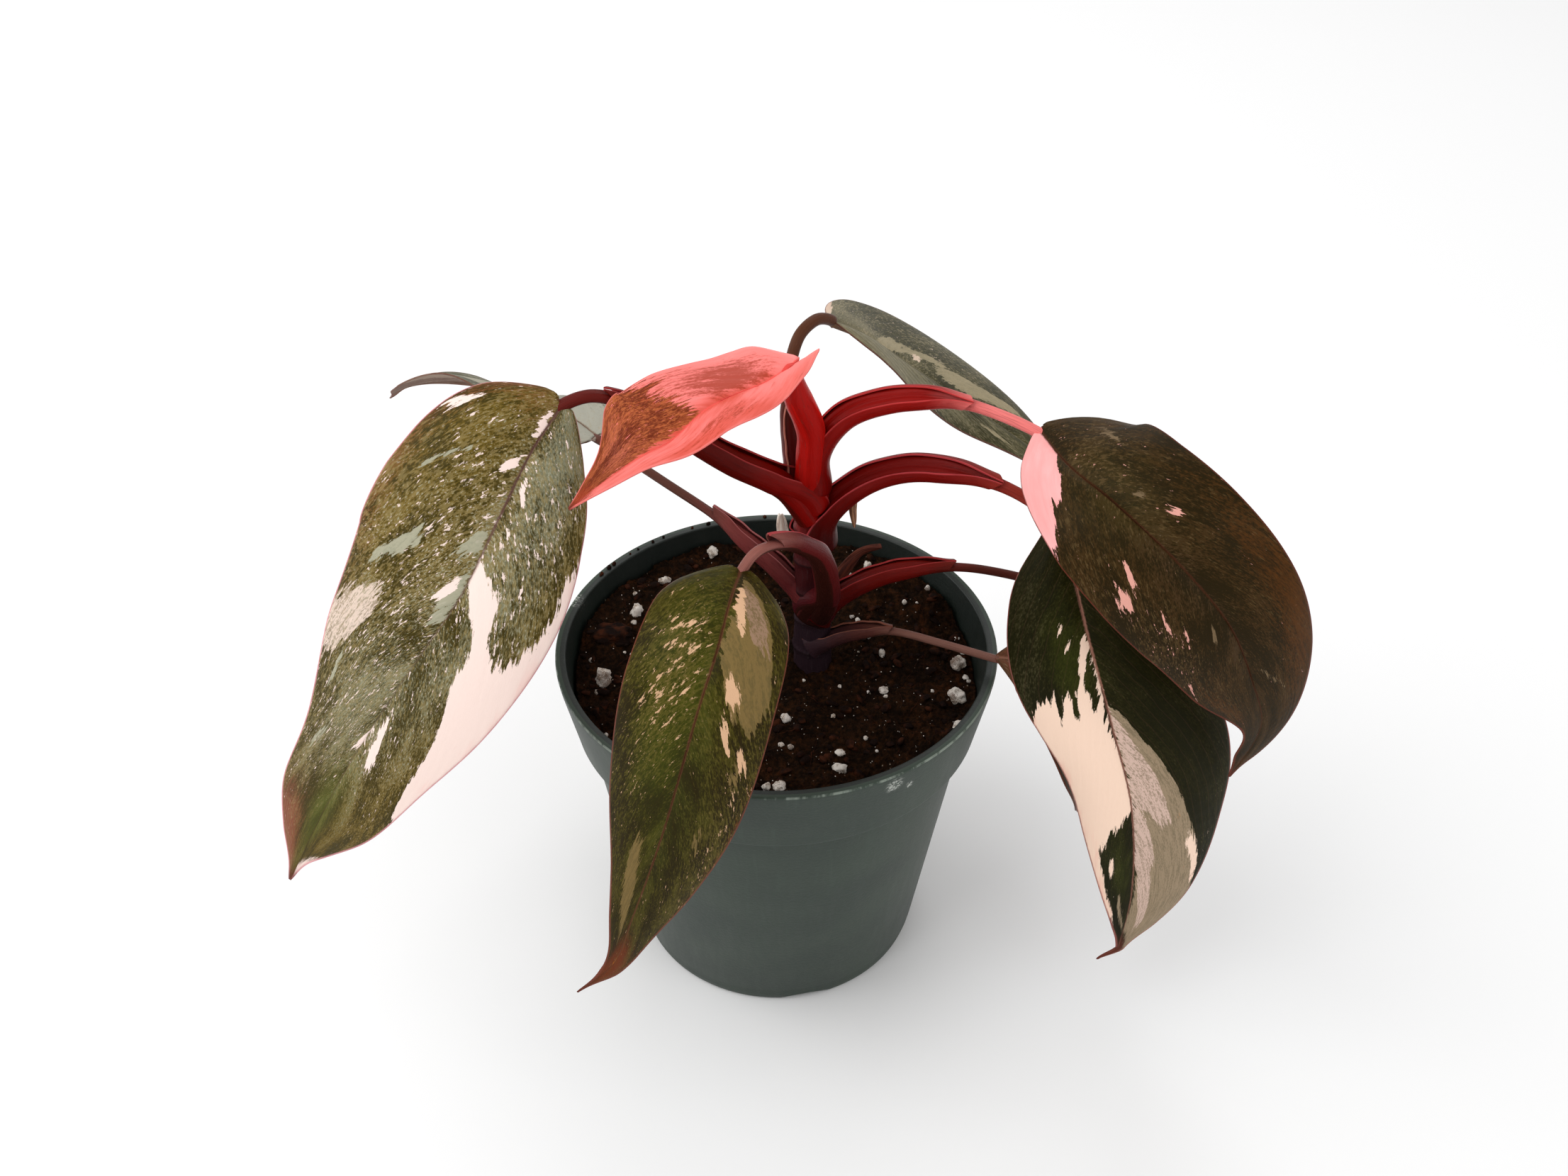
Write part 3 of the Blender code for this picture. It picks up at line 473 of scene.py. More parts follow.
            ((0.77, 0.46), (0.8, 0.58), (0.84, 0.6), (0.88, 0.4), (0.9, 0.2), (0.87, 0.34), (0.82, 0.48)),
        ),
        lilacMarks=(
            ((0.34, -0.01), (0.42, -0.14), (0.47, -0.24), (0.53, -0.34), (0.58, -0.42), (0.6, -0.3),
             (0.57, -0.14), (0.57, -0.01)),
            ((0.54, -0.02), (0.6, -0.16), (0.68, -0.28), (0.72, -0.24), (0.8, -0.36), (0.87, -0.5),
             (0.9, -0.4), (0.8, -0.12), (0.7, -0.02), (0.6, 0.0)),
        ),
        rustMarks=(
            ((0.56, -0.52), (0.565, -0.46), (0.575, -0.5)), ((0.685, -0.72), (0.69, -0.68), (0.695, -0.72)),
        ),
        flecks=-0.04, fleckTints=((0.7, 0.5, 0.12, 0.3, 0.25), (0.62, -0.9, 0.12, 0.15, 0.3)), drip=0.4,
        hook=(-4.6, 0, -0.6), faint=rgb(56, 58, 24), sheenTints=((0.2, 0.8, 0.12, 0.4, 0.25),),
        warmTints=((0.97, 0.0, 0.05, 1.5, 0.9),),
        greenTints=((0.72, 0.4, 0.15, 0.4, 0.5), (0.24, 0.3, 0.12, 0.3, 0.6)), green=rgb(60, 66, 16)),
    "back_left": dict(
        midrib=((-43, 24, 136), (-49, 30, 137), (-61, 40, 138), (-75, 52, 134), (-89, 62, 129),
                (-99, 68, 124), (-105, 72, 118)),
        faces=((0.1, 0.0, 1.0), (0.33, 0.45, 0.83), (-0.65, 0.25, 0.72)), left=(6, 13, 16, 17, 15, 10, 3),
        right=(6, 13, 16, 17, 15, 10, 3), lobes=(4, 4), fold=(3, 3), curl=(-4, -4), wave=(0.8, 1.5, 0.0),
        ground=(rgb(74, 72, 50), rgb(104, 100, 76)), grey=rgb(178, 176, 162), warm=rgb(110, 76, 56),
        milky=rgb(160, 152, 130), pale=rgb(214, 192, 172), blush=rgb(226, 170, 156), rib=rgb(120, 96, 78),
        margin=rgb(112, 70, 56), mottle=0.7,
        paleMarks=(((0.2, 0.1), (0.3, 0.5), (0.45, 1.1), (0.6, 1.1), (0.5, 0.6), (0.35, 0.15)),),
        milkyMarks=(((0.1, -0.1), (0.3, -0.8), (0.5, -1.1), (0.6, -1.0), (0.4, -0.3), (0.25, -0.05)),),
        flecks=0.15, sheenTints=((0.05, 0.0, 0.2, 1.0, 1.0), (0.4, 0.0, 0.4, 1.0, 0.5)),
        warmTints=((0.95, 0.0, 0.06, 1.5, 0.8),)),
    "low": dict(
        midrib=((52, -12, 97), (59, -14, 97), (68, -16, 88), (76, -14, 68), (78, -10, 43)),
        faces=((0.1, -0.3, 0.95), (0.7, -0.3, 0.6), (0.9, -0.3, 0.2)), left=(2, 7, 13, 15, 13, 9, 3),
        right=(2, 7, 13, 15, 13, 9, 3), lobes=(0, 0), fold=(8, 8), curl=(-14, -14), wave=(0.6, 1.5, 0.0),
        ground=(rgb(48, 36, 16), rgb(78, 58, 30)), grey=rgb(84, 76, 54), warm=rgb(110, 62, 40),
        milky=rgb(128, 112, 84), pale=rgb(216, 176, 150), blush=rgb(226, 150, 138), rib=rgb(140, 96, 76),
        margin=rgb(104, 56, 42), mottle=0.7,
        paleMarks=(((0.3, -0.1), (0.4, -0.5), (0.55, -1.1), (0.7, -1.1), (0.6, -0.5), (0.45, -0.05)),),
        milkyMarks=(((0.3, 0.1), (0.45, 0.6), (0.6, 1.0), (0.65, 0.7), (0.45, 0.1)),), flecks=0.12,
        warmTints=((0.03, 0.0, 0.12, 1.5, 0.7), (0.96, 0.0, 0.06, 1.5, 0.8))),
    "hidden": dict(
        midrib=((67, 4, 106), (76, 0, 96), (88, -2, 80), (99, 0, 60), (107, 4, 42)),
        faces=((0.4, 0.0, 0.9), (0.8, -0.2, 0.6), (0.9, -0.2, 0.4)), left=(7, 12, 16, 17, 15, 10, 3),
        right=(7, 12, 16, 17, 15, 10, 3), lobes=(5, 5), fold=(8, 8), curl=(-14, -14), wave=(0.6, 1.5, 0.0),
        ground=(rgb(40, 36, 12), rgb(66, 60, 24)), grey=rgb(84, 82, 60), warm=rgb(96, 50, 32),
        milky=rgb(138, 124, 94), pale=rgb(236, 196, 172), blush=rgb(240, 156, 148), rib=rgb(112, 68, 52),
        margin=rgb(122, 64, 54), mottle=0.7,
        paleMarks=(
            ((0.15, 0.05), (0.25, 0.3), (0.35, 0.8), (0.45, 1.1), (0.62, 1.1), (0.5, 0.5), (0.3, 0.1)),
        ),
        milkyMarks=(((0.4, -0.1), (0.5, -0.4), (0.65, -1.0), (0.75, -0.9), (0.6, -0.2)),), flecks=0.1,
        sheenTints=((0.3, 0.0, 0.3, 1.0, 0.3),), warmTints=((0.96, 0.0, 0.06, 1.5, 0.8),)),
}


def outlineField(points, outline):  # distance inside an outline, negative outside it
    near = np.full(len(points), 99.0)
    within = np.zeros(len(points), bool)
    for a, b in zip(outline, np.roll(outline, -1, axis=0)):
        run = b - a
        share = np.clip((points - a) @ run / max(run @ run, 1e-9), 0, 1)
        near = np.minimum(near, np.linalg.norm(points - a - share[:, None] * run, axis=1))
        if run[1]:
            crosses = (a[1] > points[:, 1]) != (b[1] > points[:, 1])
            within ^= crosses & (points[:, 0] < a[0] + run[0] * (points[:, 1] - a[1]) / run[1])
    return np.where(within, near, -near)


def markField(points, outlines):
    field = np.full(len(points), -9.0)
    for outline in outlines:
        field = np.maximum(field, outlineField(points, np.array(outline)))
    return field


def tintField(uv, tints):
    total = np.zeros(len(uv))
    for u, v, long, wide, strength in tints:
        total += strength * np.exp(-((uv[:, 0] - u) / long) ** 2 - ((uv[:, 1] - v) / wide) ** 2)
    return total


def widest(shape, v):
    return np.where(v > 0, max(shape["right"]), max(shape["left"]))


def veinCoordinates(shape, length, uv):  # steps across the side veins, and out from the midrib
    u, v = uv[:, 0], uv[:, 1]
    half = widest(shape, v)
    slant = blade["slant"][0] + blade["slant"][1] * u
    return np.stack([(u * length - slant * np.abs(v) * half) / blade["veinScale"], v * half * 2], 1)


def strokeCoordinates(shape, length, uv):  # steps across the side veins, and along them
    u, v = uv[:, 0], uv[:, 1]
    along = (blade["strokeLean"] * u * length + np.abs(v) * widest(shape, v)) / blade["strokeScale"]
    return np.stack([veinCoordinates(shape, length, uv)[:, 0], along], 1)


def leafPaint(name, tone, under=False):
    paint = Paint(name, tone.get("gloss", 0.1))
    veins = paint.uv("veins")
    pale, milky, blush, rust = paint.attribute("marks")
    fromRib, fromMargin, u, green = paint.attribute("lay")
    flecks, grey, warm, lilac = paint.attribute("tint")
    teeth = paint.grain(veins, (0.7, 3.6, 1), 1, 5, 0.66) - 0.5
    cloud = paint.grain(veins, (8, 15, 1), 2, 3, 0.55)
    mottle = paint.grain(veins, (0.34, 0.7, 1), 3, 4, 0.68)
    streak = paint.grain(veins, (0.5, 1.7, 1), 4, 4, 0.62)
    spark = paint.grain(veins, (0.75, 2.3, 1), 5, 5, 0.66)
    brush = paint.grain(veins, (0.9, 5.5, 1), 7, 4, 0.62)
    drift, grit, stroke, ragged = cloud - 0.5, mottle - 0.5, brush - 0.5, streak - 0.5  # around zero
    # the ground: two tones, greener and warmer in places, and greyed by a painted sheen where the blade
    # catches the light
    paint.colour = tone["ground"][0]
    paint.over(tone["ground"][1], mottle + drift * 0.9 + stroke * 0.6, 0.38, 0.64, tone["mottle"])
    # painted sheen: the grey tone laid where the sheen tints are high
    paint.over(tone["grey"], grey + drift * 1.4 + stroke * 0.7 + grit * 2.0, 0.15, 0.95, 0.8)
    paint.over(tone.get("green", blade["green"]), green + drift + grit * 0.6, 0.1, 1.0, 0.75)
    paint.over(tone["warm"], warm + stroke * 0.9 + grit, 0.2, 0.9, 0.9)
    # faint flecks, dots and bright flecks
    paint.over(tone.get("faint", tone["milky"]), streak + flecks * 0.4 + drift * 0.3, 0.62, 0.72, 0.5)
    paint.over(tone["milky"], mottle + flecks * 0.35 + drift * 0.2, 0.7, 0.78, 0.6)
    paint.over(tone["pale"], spark + flecks * 0.4 + grit * 0.3, 0.76, 0.79, 0.85)
    # the milky, lilac, pale and pink sectors
    dappled = paint.blend(tone["milky"], tone["grey"], brush + grit * 0.9, 0.42, 0.66, 0.42)
    paint.over(dappled, milky + teeth * 2.6, -0.03, 0.08, 0.93)
    inLilac = paint.step(lilac + teeth * 2.6, -0.03, 0.1)
    streaked = 1 - paint.step(brush + grit * 1.4, 0.42, 0.68) * 0.7
    paint.lay(tone.get("lilac", tone["pale"]), inLilac * streaked * 0.9)
    inPale = paint.step(pale + teeth * 2.3, -0.02, 0.05)
    rosy = cloud + fromMargin * -0.08 + stroke * 0.4
    paint.lay(paint.blend(tone["pale"], tone["blush"], rosy, 0.3, 0.7, 0.7), inPale)
    flushed = paint.blend(tone["blush"], blade["blush"], cloud + stroke * 0.3, 0.35, 0.7, 0.5)
    paint.over(flushed, blush + teeth * 2.3, -0.02, 0.05)
    if "smears" in tone:  # a young blade is flushed with coral, with rusty smears over its pink
        coral = paint.step(green + drift * 1.6 + stroke * 0.8, 0.15, 0.95)
        paint.lay(tone["flush"], inPale * coral * 0.9)
        paint.over(tone["smears"], milky + stroke * 5 + grit * 4, -0.9, 0.9, 0.85)
        paint.over(tone["smears"], brush + grit * 0.4, 0.6, 0.75, 0.3)
    paint.over(blade["spot"], rust + teeth * 1.2, -0.05, 0.2, 0.85)
    # side veins, midrib, margin and tip
    across = paint.xyz(veins)[0]
    folded = paint.maths("PINGPONG", across * (1 / blade["veinGap"]) + drift * 1.2, 0.5)
    paint.lay(tone["rib"], (1 - paint.step(folded, 0.0, 0.07)) * (1 - inPale) * 0.045)
    ribEnd, ribWidth = tone.get("ribFade", 1.0), 1.05 - u * 0.75
    fade = 1 - paint.step(u, ribEnd - 0.3, ribEnd) * 0.75
    onRib = 1 - paint.step(fromRib + ragged * 0.5, ribWidth * 0.45, ribWidth * 0.9)
    paint.lay(tone["rib"], onRib * fade * (0.6 if under else 0.9))
    paint.lay(tone["margin"], (1 - paint.step(fromMargin + ragged * 0.3, 0.12, 0.4)) * 0.8)
    paint.over(blade["tip"], u, 0.95, 1.0, 0.8)
    if under:
        paint.lay(blade["under"], 0.38)
    roughness = paint.step(mottle, 0.2, 0.9) * 0.12 + (0.6 if under else 0.42)
    fine = paint.grain(veins, (0.25, 0.9, 1), 6, 2)
    return paint.finish(roughness, folded * -0.7 + fine * 0.35 + streak * 0.2)


def bladeSpot(shape, path, facing, u, v, acrossVeins):
    out, side = abs(v), v > 0
    half = (*shape["right" if side else "left"], blade["tipWidth"])
    width = smooth(blade["widthAt"], half, u) * (1 - shape.get("drip", 0.0) * rise(*blade["dripAt"], u))
    rounded = math.sqrt(1 - (1 - min(u / shape.get("round", blade["roundBase"]), 1.0)) ** 2)
    width *= blade["footWidth"] + (1 - blade["footWidth"]) * rounded
    reach, edge = out * width, width * (1 - out)  # from the midrib, and from the margin
    lead = blade["sweep"] * math.sin(pi * u) * out ** 1.5
    lobe = shape["lobes"][side] / path.length * (1 - u) ** 5 * (2 * out - out * out)
    s = u + lead - lobe * (1.0 if shape.get("fullLobes") else rounded)
    along = path.along(s)
    across = along.cross(smooth((0.0, 0.5, 1.0), facing, min(max(s, 0.0), 1.0))).normalized()
    up = across.cross(along)
    lift = math.radians(shape["fold"][side] + shape["curl"][side] * out)
    waveHeight, waveCount, wavePhase = shape["wave"]
    wave = waveHeight * math.sin(2 * pi * waveCount * u + wavePhase + side) * out * out * math.sin(pi * u)
    onRib = bump(reach, blade["ribWidth"] * (1.05 - 0.75 * u))
    thick = blade["thick"] + (blade["ribThick"] * (1 - 0.8 * u) - blade["thick"] * 0.5) * onRib
    thick = blade["marginThick"] + (thick - blade["marginThick"]) * rise(
        0.0, blade["marginReach"], edge + 0.1)
    vein = abs((acrossVeins / blade["veinGap"]) % 1.0 - 0.5) * 2  # 1 on a side vein
    quilt = blade["quilt"] * (bump(1 - vein, 0.35) - 0.4) * rise(0.5, 3.0, reach) * rise(0.3, 2.5, edge)
    sink = (thick - blade["thick"]) / 2 + blade["groove"] * onRib * (1 - 0.7 * u) + quilt
    place = (path.at(s) + (across if side else -across) * (reach * math.cos(lift))
             + up * (reach * math.sin(lift) + wave - sink)
             + Vector(shape.get("hook", (0, 0, 0))) * rise(*blade["hookAt"], u) ** 1.5)
    return place, up, thick, (reach, edge, u)


def markBlade(bm, verts, shape, length, uv, spans):
    def stretched(places):
        return veinCoordinates(shape, length, places) * blade["markStretch"]

    def marks(kind):
        return markField(stretched(uv), [stretched(np.array(outline)) for outline in shape.get(kind, ())])

    def tints(kind):
        return tintField(uv, shape.get(kind, ()))

    limit = blade["markLimit"]
    sectors = [np.minimum(marks("paleMarks"), -marks("darkMarks")),
               marks("milkyMarks"), marks("blushMarks"), marks("rustMarks")]
    # the second tone holds the painted sheen
    tones = [shape["flecks"] + tints("fleckTints"), tints("sheenTints"), tints("warmTints"),
             marks("lilacMarks")]
    fields = {"marks": np.clip(np.stack(sectors, 1), -limit, limit),
              "lay": np.column_stack([spans, tints("greenTints")]),
              "tint": np.clip(np.stack(tones, 1), -limit, limit)}
    for name, values in fields.items():
        layer = bm.verts.layers.float_color[name]
        for vert, value in zip(verts, values.tolist()):
            vert[layer] = value


def makeBlade(name, shape):
    path = Path(shape["midrib"])
    facing = [Vector(f).normalized() for f in shape["faces"]]
    bm, spots = grid(blade["rows"], blade["columns"], "veins", ("marks", "lay", "tint"))
    verts = [vert for vert, _, _ in spots]
    uv = np.array([(u, math.copysign(abs(v) ** blade["crowd"], v)) for _, u, v in spots])
    veins = veinCoordinates(shape, path.length, uv)
    weight = bm.verts.layers.deform.verify()
    ups, spans = [], []
    for vert, (u, v), (acrossVeins, _) in zip(verts, uv.tolist(), veins.tolist()):
        vert.co, up, thick, span = bladeSpot(shape, path, facing, u, v, acrossVeins)
        vert[weight][0] = thick / blade["ribThick"]
        ups.append(up)
        spans.append(span)
    markBlade(bm, verts, shape, path.length, uv, spans)
    layOut(bm, "veins", strokeCoordinates(shape, path.length, uv).tolist(), uv[:, 1].tolist())
    bm.normal_update()
    if sum(vert.normal.dot(up) for vert, up in zip(verts, ups)) < 0:
        bmesh.ops.reverse_faces(bm, faces=bm.faces)
    paints = [leafPaint("leaf_" + name + "_upper", shape), leafPaint("leaf_" + name + "_under", shape, True)]
    obj = piece("blade_" + name, bm, paints, ["leaf_" + name], "new_leaf" if name == "new" else "leaves")
    wall = thicken(obj, blade["ribThick"])
    wall.vertex_group = obj.vertex_groups.new(name="thickness").name
    wall.material_offset = 1


for name, shape in blades.items():
    makeBlade(name, shape)
print("blades made:", len(blades))


stem = {
    "points": ((9, 7, 58), (9, 7, 80), (9, 7, 100), (8.5, 7, 118), (8, 6.5, 133)), "place": (9.0, 7.0),
    "radii": (4.6, 4.8, 4.4, 4.2, 3.0), "rings": 190, "sides": 48,
    "nodeGap": 9.0, "swell": 0.35, "uneven": 0.22,  # scars stand this far apart, and out by this much
}
petiole = {
    "rings": 150, "sides": 36, "sheathRows": 100, "sheathColumns": 32, "sheathThick": 0.4, "frames": 200,
    "open": 0.8, "closed": 0.97, "flare": 0.2, "clasp": 2.2, "joint": 0.9, "gloss": 0.09,
    "tail": (3.0, 6.0, 9.0), "sink": (1.7, 1.8, 1.3),  # how far it runs on under the midrib, and how deep
    "dark": rgb(36, 12, 12),
}

# tones run from the stem to the blade; belly is the side away from the channel
petioles = {
    "left": dict(
        points=((8, 5, 126), (2, 4, 135), (-10, 2, 143), (-22, -2, 154), (-32, -6, 163), (-39, -8, 166),
                (-45, -10, 165)), radii=(3.6, 2.4, 1.5), sheath=0.85, faces=(0.5, 0, 1), clasp=0.9,
        tones=(rgb(138, 10, 5), rgb(90, 10, 4), rgb(96, 26, 20)), belly=rgb(62, 14, 6),
        lip=rgb(176, 62, 62)),
    "front": dict(
        points=((10, 5, 95), (12, -1, 105), (11.5, -7, 117), (9.3, -14, 128.6), (4.6, -21, 136.6),
                (-0.8, -29, 142), (-4.4, -34, 143.4), (-7, -36, 141)), radii=(2.8, 2.0, 1.2), sheath=0.84,
        faces=(0.2, 1, 0), flap=0.9, tones=(rgb(66, 18, 24), rgb(92, 24, 24), rgb(152, 96, 86)),
        belly=rgb(38, 20, 12), lip=rgb(206, 84, 88)),
    "new": dict(
        points=((8, 6, 128), (8, 4, 140), (8, 2, 151), (5, -2, 162), (3, -6, 172)), radii=(3.0, 2.6, 1.5),
        sheath=0.94, faces=(-0.6, 1, 0), clasp=0.9,
        tones=(rgb(140, 8, 4), rgb(196, 22, 16), rgb(226, 74, 68)), belly=rgb(160, 14, 9),
        lip=rgb(236, 170, 150)),
    "top": dict(
        points=((6, 8, 130), (4, 10, 146), (3, 13, 158), (5, 17, 166), (9, 22, 168), (13, 26, 166)),
        radii=(3.0, 2.2, 1.4), sheath=0.5, faces=(0, -1, 0), clasp=0.9, joint=0.2, tail=(1.5,),
        tones=(rgb(124, 34, 36), rgb(88, 30, 26), rgb(86, 50, 32)), belly=rgb(96, 44, 40),
        lip=rgb(226, 160, 140)),
    "right": dict(
        points=((8, 6, 131), (10, 5, 145), (16, 4, 154), (26, 2, 159), (36, -1, 161), (45, -7, 162),
                (56, -14, 161)), radii=(3.2, 2.3, 1.25), sheath=0.76, faces=(-1, -0.5, 0.3), clasp=0.9,
        tones=(rgb(116, 5, 2), rgb(140, 13, 7), rgb(236, 124, 120)), belly=rgb(122, 36, 18),
        lip=rgb(206, 66, 66)),
    "lower_right": dict(
        points=((9, 6, 116), (12, 5, 127), (20, 4, 136), (30, 2, 141), (42, -3, 143), (53, -9, 142),
                (62, -12, 137)), radii=(3.3, 2.6, 1.4), sheath=0.78, faces=(-1, -0.5, 0.5),
        tones=(rgb(56, 7, 5), rgb(120, 14, 9), rgb(146, 50, 38)), belly=rgb(72, 24, 12),
        lip=rgb(200, 72, 76)),
    "back_left": dict(
        points=((8, 8, 98), (0, 9, 108), (-8, 11, 115), (-14, 14, 119), (-27, 19, 126), (-38, 23, 132),
                (-43, 24, 136)), radii=(2.8, 2.2, 1.15), sheath=0.5, faces=(0.5, 0, 1),
        tones=(rgb(96, 34, 36), rgb(130, 60, 58), rgb(104, 66, 56)), belly=rgb(84, 44, 38),
        lip=rgb(196, 120, 118)),
    "low": dict(
        points=((9, 5, 86), (18, 3, 92), (28, 0, 95), (40, -6, 96), (52, -12, 97)), radii=(2.4, 1.8, 1.0),
        sheath=0.45, faces=(-0.3, 0, 1), tones=(rgb(52, 36, 42), rgb(96, 52, 44), rgb(130, 90, 78)),
        belly=rgb(58, 36, 28), lip=rgb(150, 92, 74)),
    "hidden": dict(
        points=((10, 6, 94), (16, 7, 101), (26, 7, 107), (37, 6, 110), (50, 5, 110), (67, 3, 107)),
        radii=(2.8, 2.1, 1.1), sheath=0.6, faces=(-0.5, 0, 1),
        tones=(rgb(66, 12, 10), rgb(118, 20, 14), rgb(82, 34, 24)), belly=rgb(78, 16, 8),
        lip=rgb(186, 62, 62)),
}


def stalkPaint(name, tone):
    paint = Paint(name, petiole["gloss"])
    skin = paint.uv("skin")
    u, _, lip, belly = paint.attribute("lay")
    fibre = paint.grain(skin, (9, 0.55, 1), 1, 4, 0.6)
    cloud = paint.grain(skin, (7, 3.5, 1), 2, 3)
    speck = paint.grain(skin, (0.9, 0.4, 1), 3, 2)
    shift = u + (cloud - 0.5) * 0.14
    paint.colour, middle, end = tone["tones"]
    paint.over(middle, shift, 0.0, 0.42)
    paint.over(end, shift, tone["sheath"] - 0.16, tone["sheath"] + 0.14)
    paint.over(tone["belly"], belly + (fibre - 0.5) * 0.8, 0.45, 0.9, 0.8)
    paint.over(tone["lip"], lip + (fibre - 0.5) * 0.35, 0.72, 0.98, 0.85)
    paint.over(paint.mix(paint.colour, petiole["dark"], 0.55), fibre, 0.5, 0.68, 0.5)
    paint.over(tone["lip"], fibre + (speck - 0.5) * 0.3, 0.62, 0.8, 0.14)
    return paint.finish(fibre * 0.2 + 0.26, fibre + speck * 0.3, 0.15)


class Stalk:
    def __init__(self, name, shape):
        rib, face = Path(blades[name]["midrib"]), Vector(blades[name]["faces"][0]).normalized()
        joint = Vector(shape["points"][-1]) - face * shape.get("joint", petiole["joint"])
        tail = [rib.at(d / rib.length) - face * sink
                for d, sink in zip(shape.get("tail", petiole["tail"]), petiole["sink"])]
        self.path = Path([*shape["points"][:-1], joint, *tail])
        self.end = self.path.knots[len(shape["points"]) - 1]
        self.last = 1 / self.end  # s runs from 0 to 1 at the joint, and to last under the midrib
        self.sheath, self.radii = shape["sheath"], shape["radii"]
        groove, self.frames = Vector(shape["faces"]), []
        for i in range(int(petiole["frames"] * self.last) + 2):
            along = self.path.along(i / petiole["frames"] * self.end)
            groove = (groove - along * groove.dot(along)).normalized()
            self.frames.append((along, groove.copy()))

    def at(self, s):  # the centre, and which ways are up, out of the channel, and across it
        spot = min(max(s, 0.0) * petiole["frames"], len(self.frames) - 1.001)
        i, share = int(spot), spot % 1.0
        along = self.frames[i][0].lerp(self.frames[i + 1][0], share).normalized()
        up = self.frames[i][1].lerp(self.frames[i + 1][1], share).normalized()
        return self.path.at(s * self.end), up, along.cross(up)

    def sheathed(self, s):
        thick, middle, _ = self.radii
        return thick + (middle - thick) * min(s / self.sheath, 1.0)

    def radius(self, s):
        full = self.sheathed(s)
        full += (self.radii[2] - full) * rise(self.sheath - 0.2, self.sheath + 0.03, s)
        return full * (1 - 0.8 * max(s - 1, 0.0) / (self.last - 1))

    def sheet(self, rows, columns, lay):
        bm, spots = grid(rows, columns, "skin", ("lay",))
        layer = bm.verts.layers.float_color["lay"]
        for vert, u, v in spots:
            vert[layer] = lay(u, abs(v))
        layOut(bm, "skin", [(u * self.path.length, v * 8) for _, u, v in spots])
        return bm, spots


def rollStalk(stalk):  # the stalk itself, hollowed along its channel
    bm, spots = stalk.sheet(petiole["rings"], petiole["sides"],
                            lambda u, out: (u * stalk.last, out, 0.0, rise(0.45, 0.75, out)))
    for vert, u, v in spots:
        s = u * stalk.last
        centre, up, across = stalk.at(s)
        inSheath = 1 - rise(stalk.sheath - 0.05, stalk.sheath + 0.08, s)
        radius = stalk.radius(s) * (1 - inSheath * 0.5 * bump(v, 0.2) - 0.12 * (1 - inSheath) * bump(v, 0.3))
        wide = across * (1 + 0.1 * inSheath)
        vert.co = centre + (up * math.cos(pi * v) + wide * math.sin(pi * v)) * radius
    wrapUp(bm)
    return bm


def rollSheath(stalk, clasp, flap):  # two wings that close over the channel and end in a free tongue
    sheath = stalk.sheath
    bm, spots = stalk.sheet(petiole["sheathRows"], petiole["sheathColumns"],
                            lambda u, out: (u * sheath, out, rise(0.86, 1.0, out), 1 - rise(0.2, 0.5, out)))
    for vert, u, v in spots:
        out = abs(v)
        close, wing = rise(0.74, 1.0, u), rise(0.25, 0.9, out)
        s = sheath * u * (1 + 0.12 * (out - 0.75) * close)
        centre, up, across = stalk.at(s)
        turn = v * pi * (petiole["open"] + (petiole["closed"] - petiole["open"]) * close)
        low = stalk.radius(s) * (1.03 - 0.12 * close)
        high = stalk.sheathed(s) * (1 + petiole["flare"] * (1 - 0.7 * close) * out ** 2)
        high *= 1 - 0.12 * close ** 3
        radius = (low + (high - low) * wing) * (0.6 + 0.4 * rise(0.0, 0.04, u))
        foot = 1 - rise(0.05, 0.24, u)  # where the sheath clasps the stem
        radius += clasp * foot * rise(0.0, 0.05, u)
        centre = centre.lerp(Vector((*stem["place"], centre.z)), foot * 0.8)
        radius += 0.1 * math.sin(u * 31 + 2 * (v > 0)) * out ** 4 + flap * close * out ** 3
        vert.co = centre + (-up * math.cos(turn) + across * 1.12 * math.sin(turn)) * radius
    bmesh.ops.recalc_face_normals(bm, faces=bm.faces)
    bmesh.ops.solidify(bm, geom=bm.faces, thickness=petiole["sheathThick"])
    return bm


def makePetiole(name, shape):
    stalk = Stalk(name, shape)
    bm = rollStalk(stalk)
    sheath = rollSheath(stalk, shape.get("clasp", petiole["clasp"]), shape.get("flap", 0.0))
    sheathMesh = meshFrom(sheath, "sheath")
    bm.from_mesh(sheathMesh)
    bpy.data.meshes.remove(sheathMesh)
    paint = stalkPaint("petiole_" + name + "_skin", shape)
    piece("stalk_" + name, bm, [paint], ["petiole_" + name], "stalks")


for name, shape in petioles.items():
    makePetiole(name, shape)
print("petioles made:", len(petioles))


def makeStem():
    path = Path(stem["points"])
    bm, spots = grid(stem["rings"], stem["sides"])
    for vert, u, v in spots:
        centre = path.at(u)
        scar = bump((centre.z / stem["nodeGap"]) % 1.0 - 0.5, 0.1)
        radius = smooth(path.knots, stem["radii"], u) + stem["swell"] * scar
        turn = Vector((math.cos(pi * v), math.sin(pi * v), 0.0))
        radius += stem["uneven"] * noise.fractal(centre * 0.12 + turn * 1.3, 0.6, 2.0, 3)
        vert.co = centre + turn * radius
    wrapUp(bm)
    paint = Paint("stem_skin", 0.12)
    spot = paint.place()
    height = paint.xyz(spot)[2]
    fibre = paint.grain(spot, (0.7, 0.7, 7), 1, 4, 0.6)
    shift = height + (paint.grain(spot, 4, 2, 3) - 0.5) * 14
    paint.colour = rgb(46, 32, 38)
    paint.over(rgb(66, 22, 24), shift, 92, 108)
    paint.over(rgb(120, 14, 12), shift, 112, 128)
    paint.over(rgb(96, 84, 84), fibre, 0.58, 0.75, 0.35)
    scar = paint.maths("PINGPONG", height * (1 / stem["nodeGap"]) - 0.5, 0.5)
    paint.lay(rgb(30, 20, 20), (1 - paint.step(scar, 0.0, 0.06)) * 0.7)
    paint.finish(fibre * 0.3 + 0.3, fibre, 0.2)
    piece("stem_fine", bm, [paint], ["stem"], "stalks")


makeStem()
print("stem made")


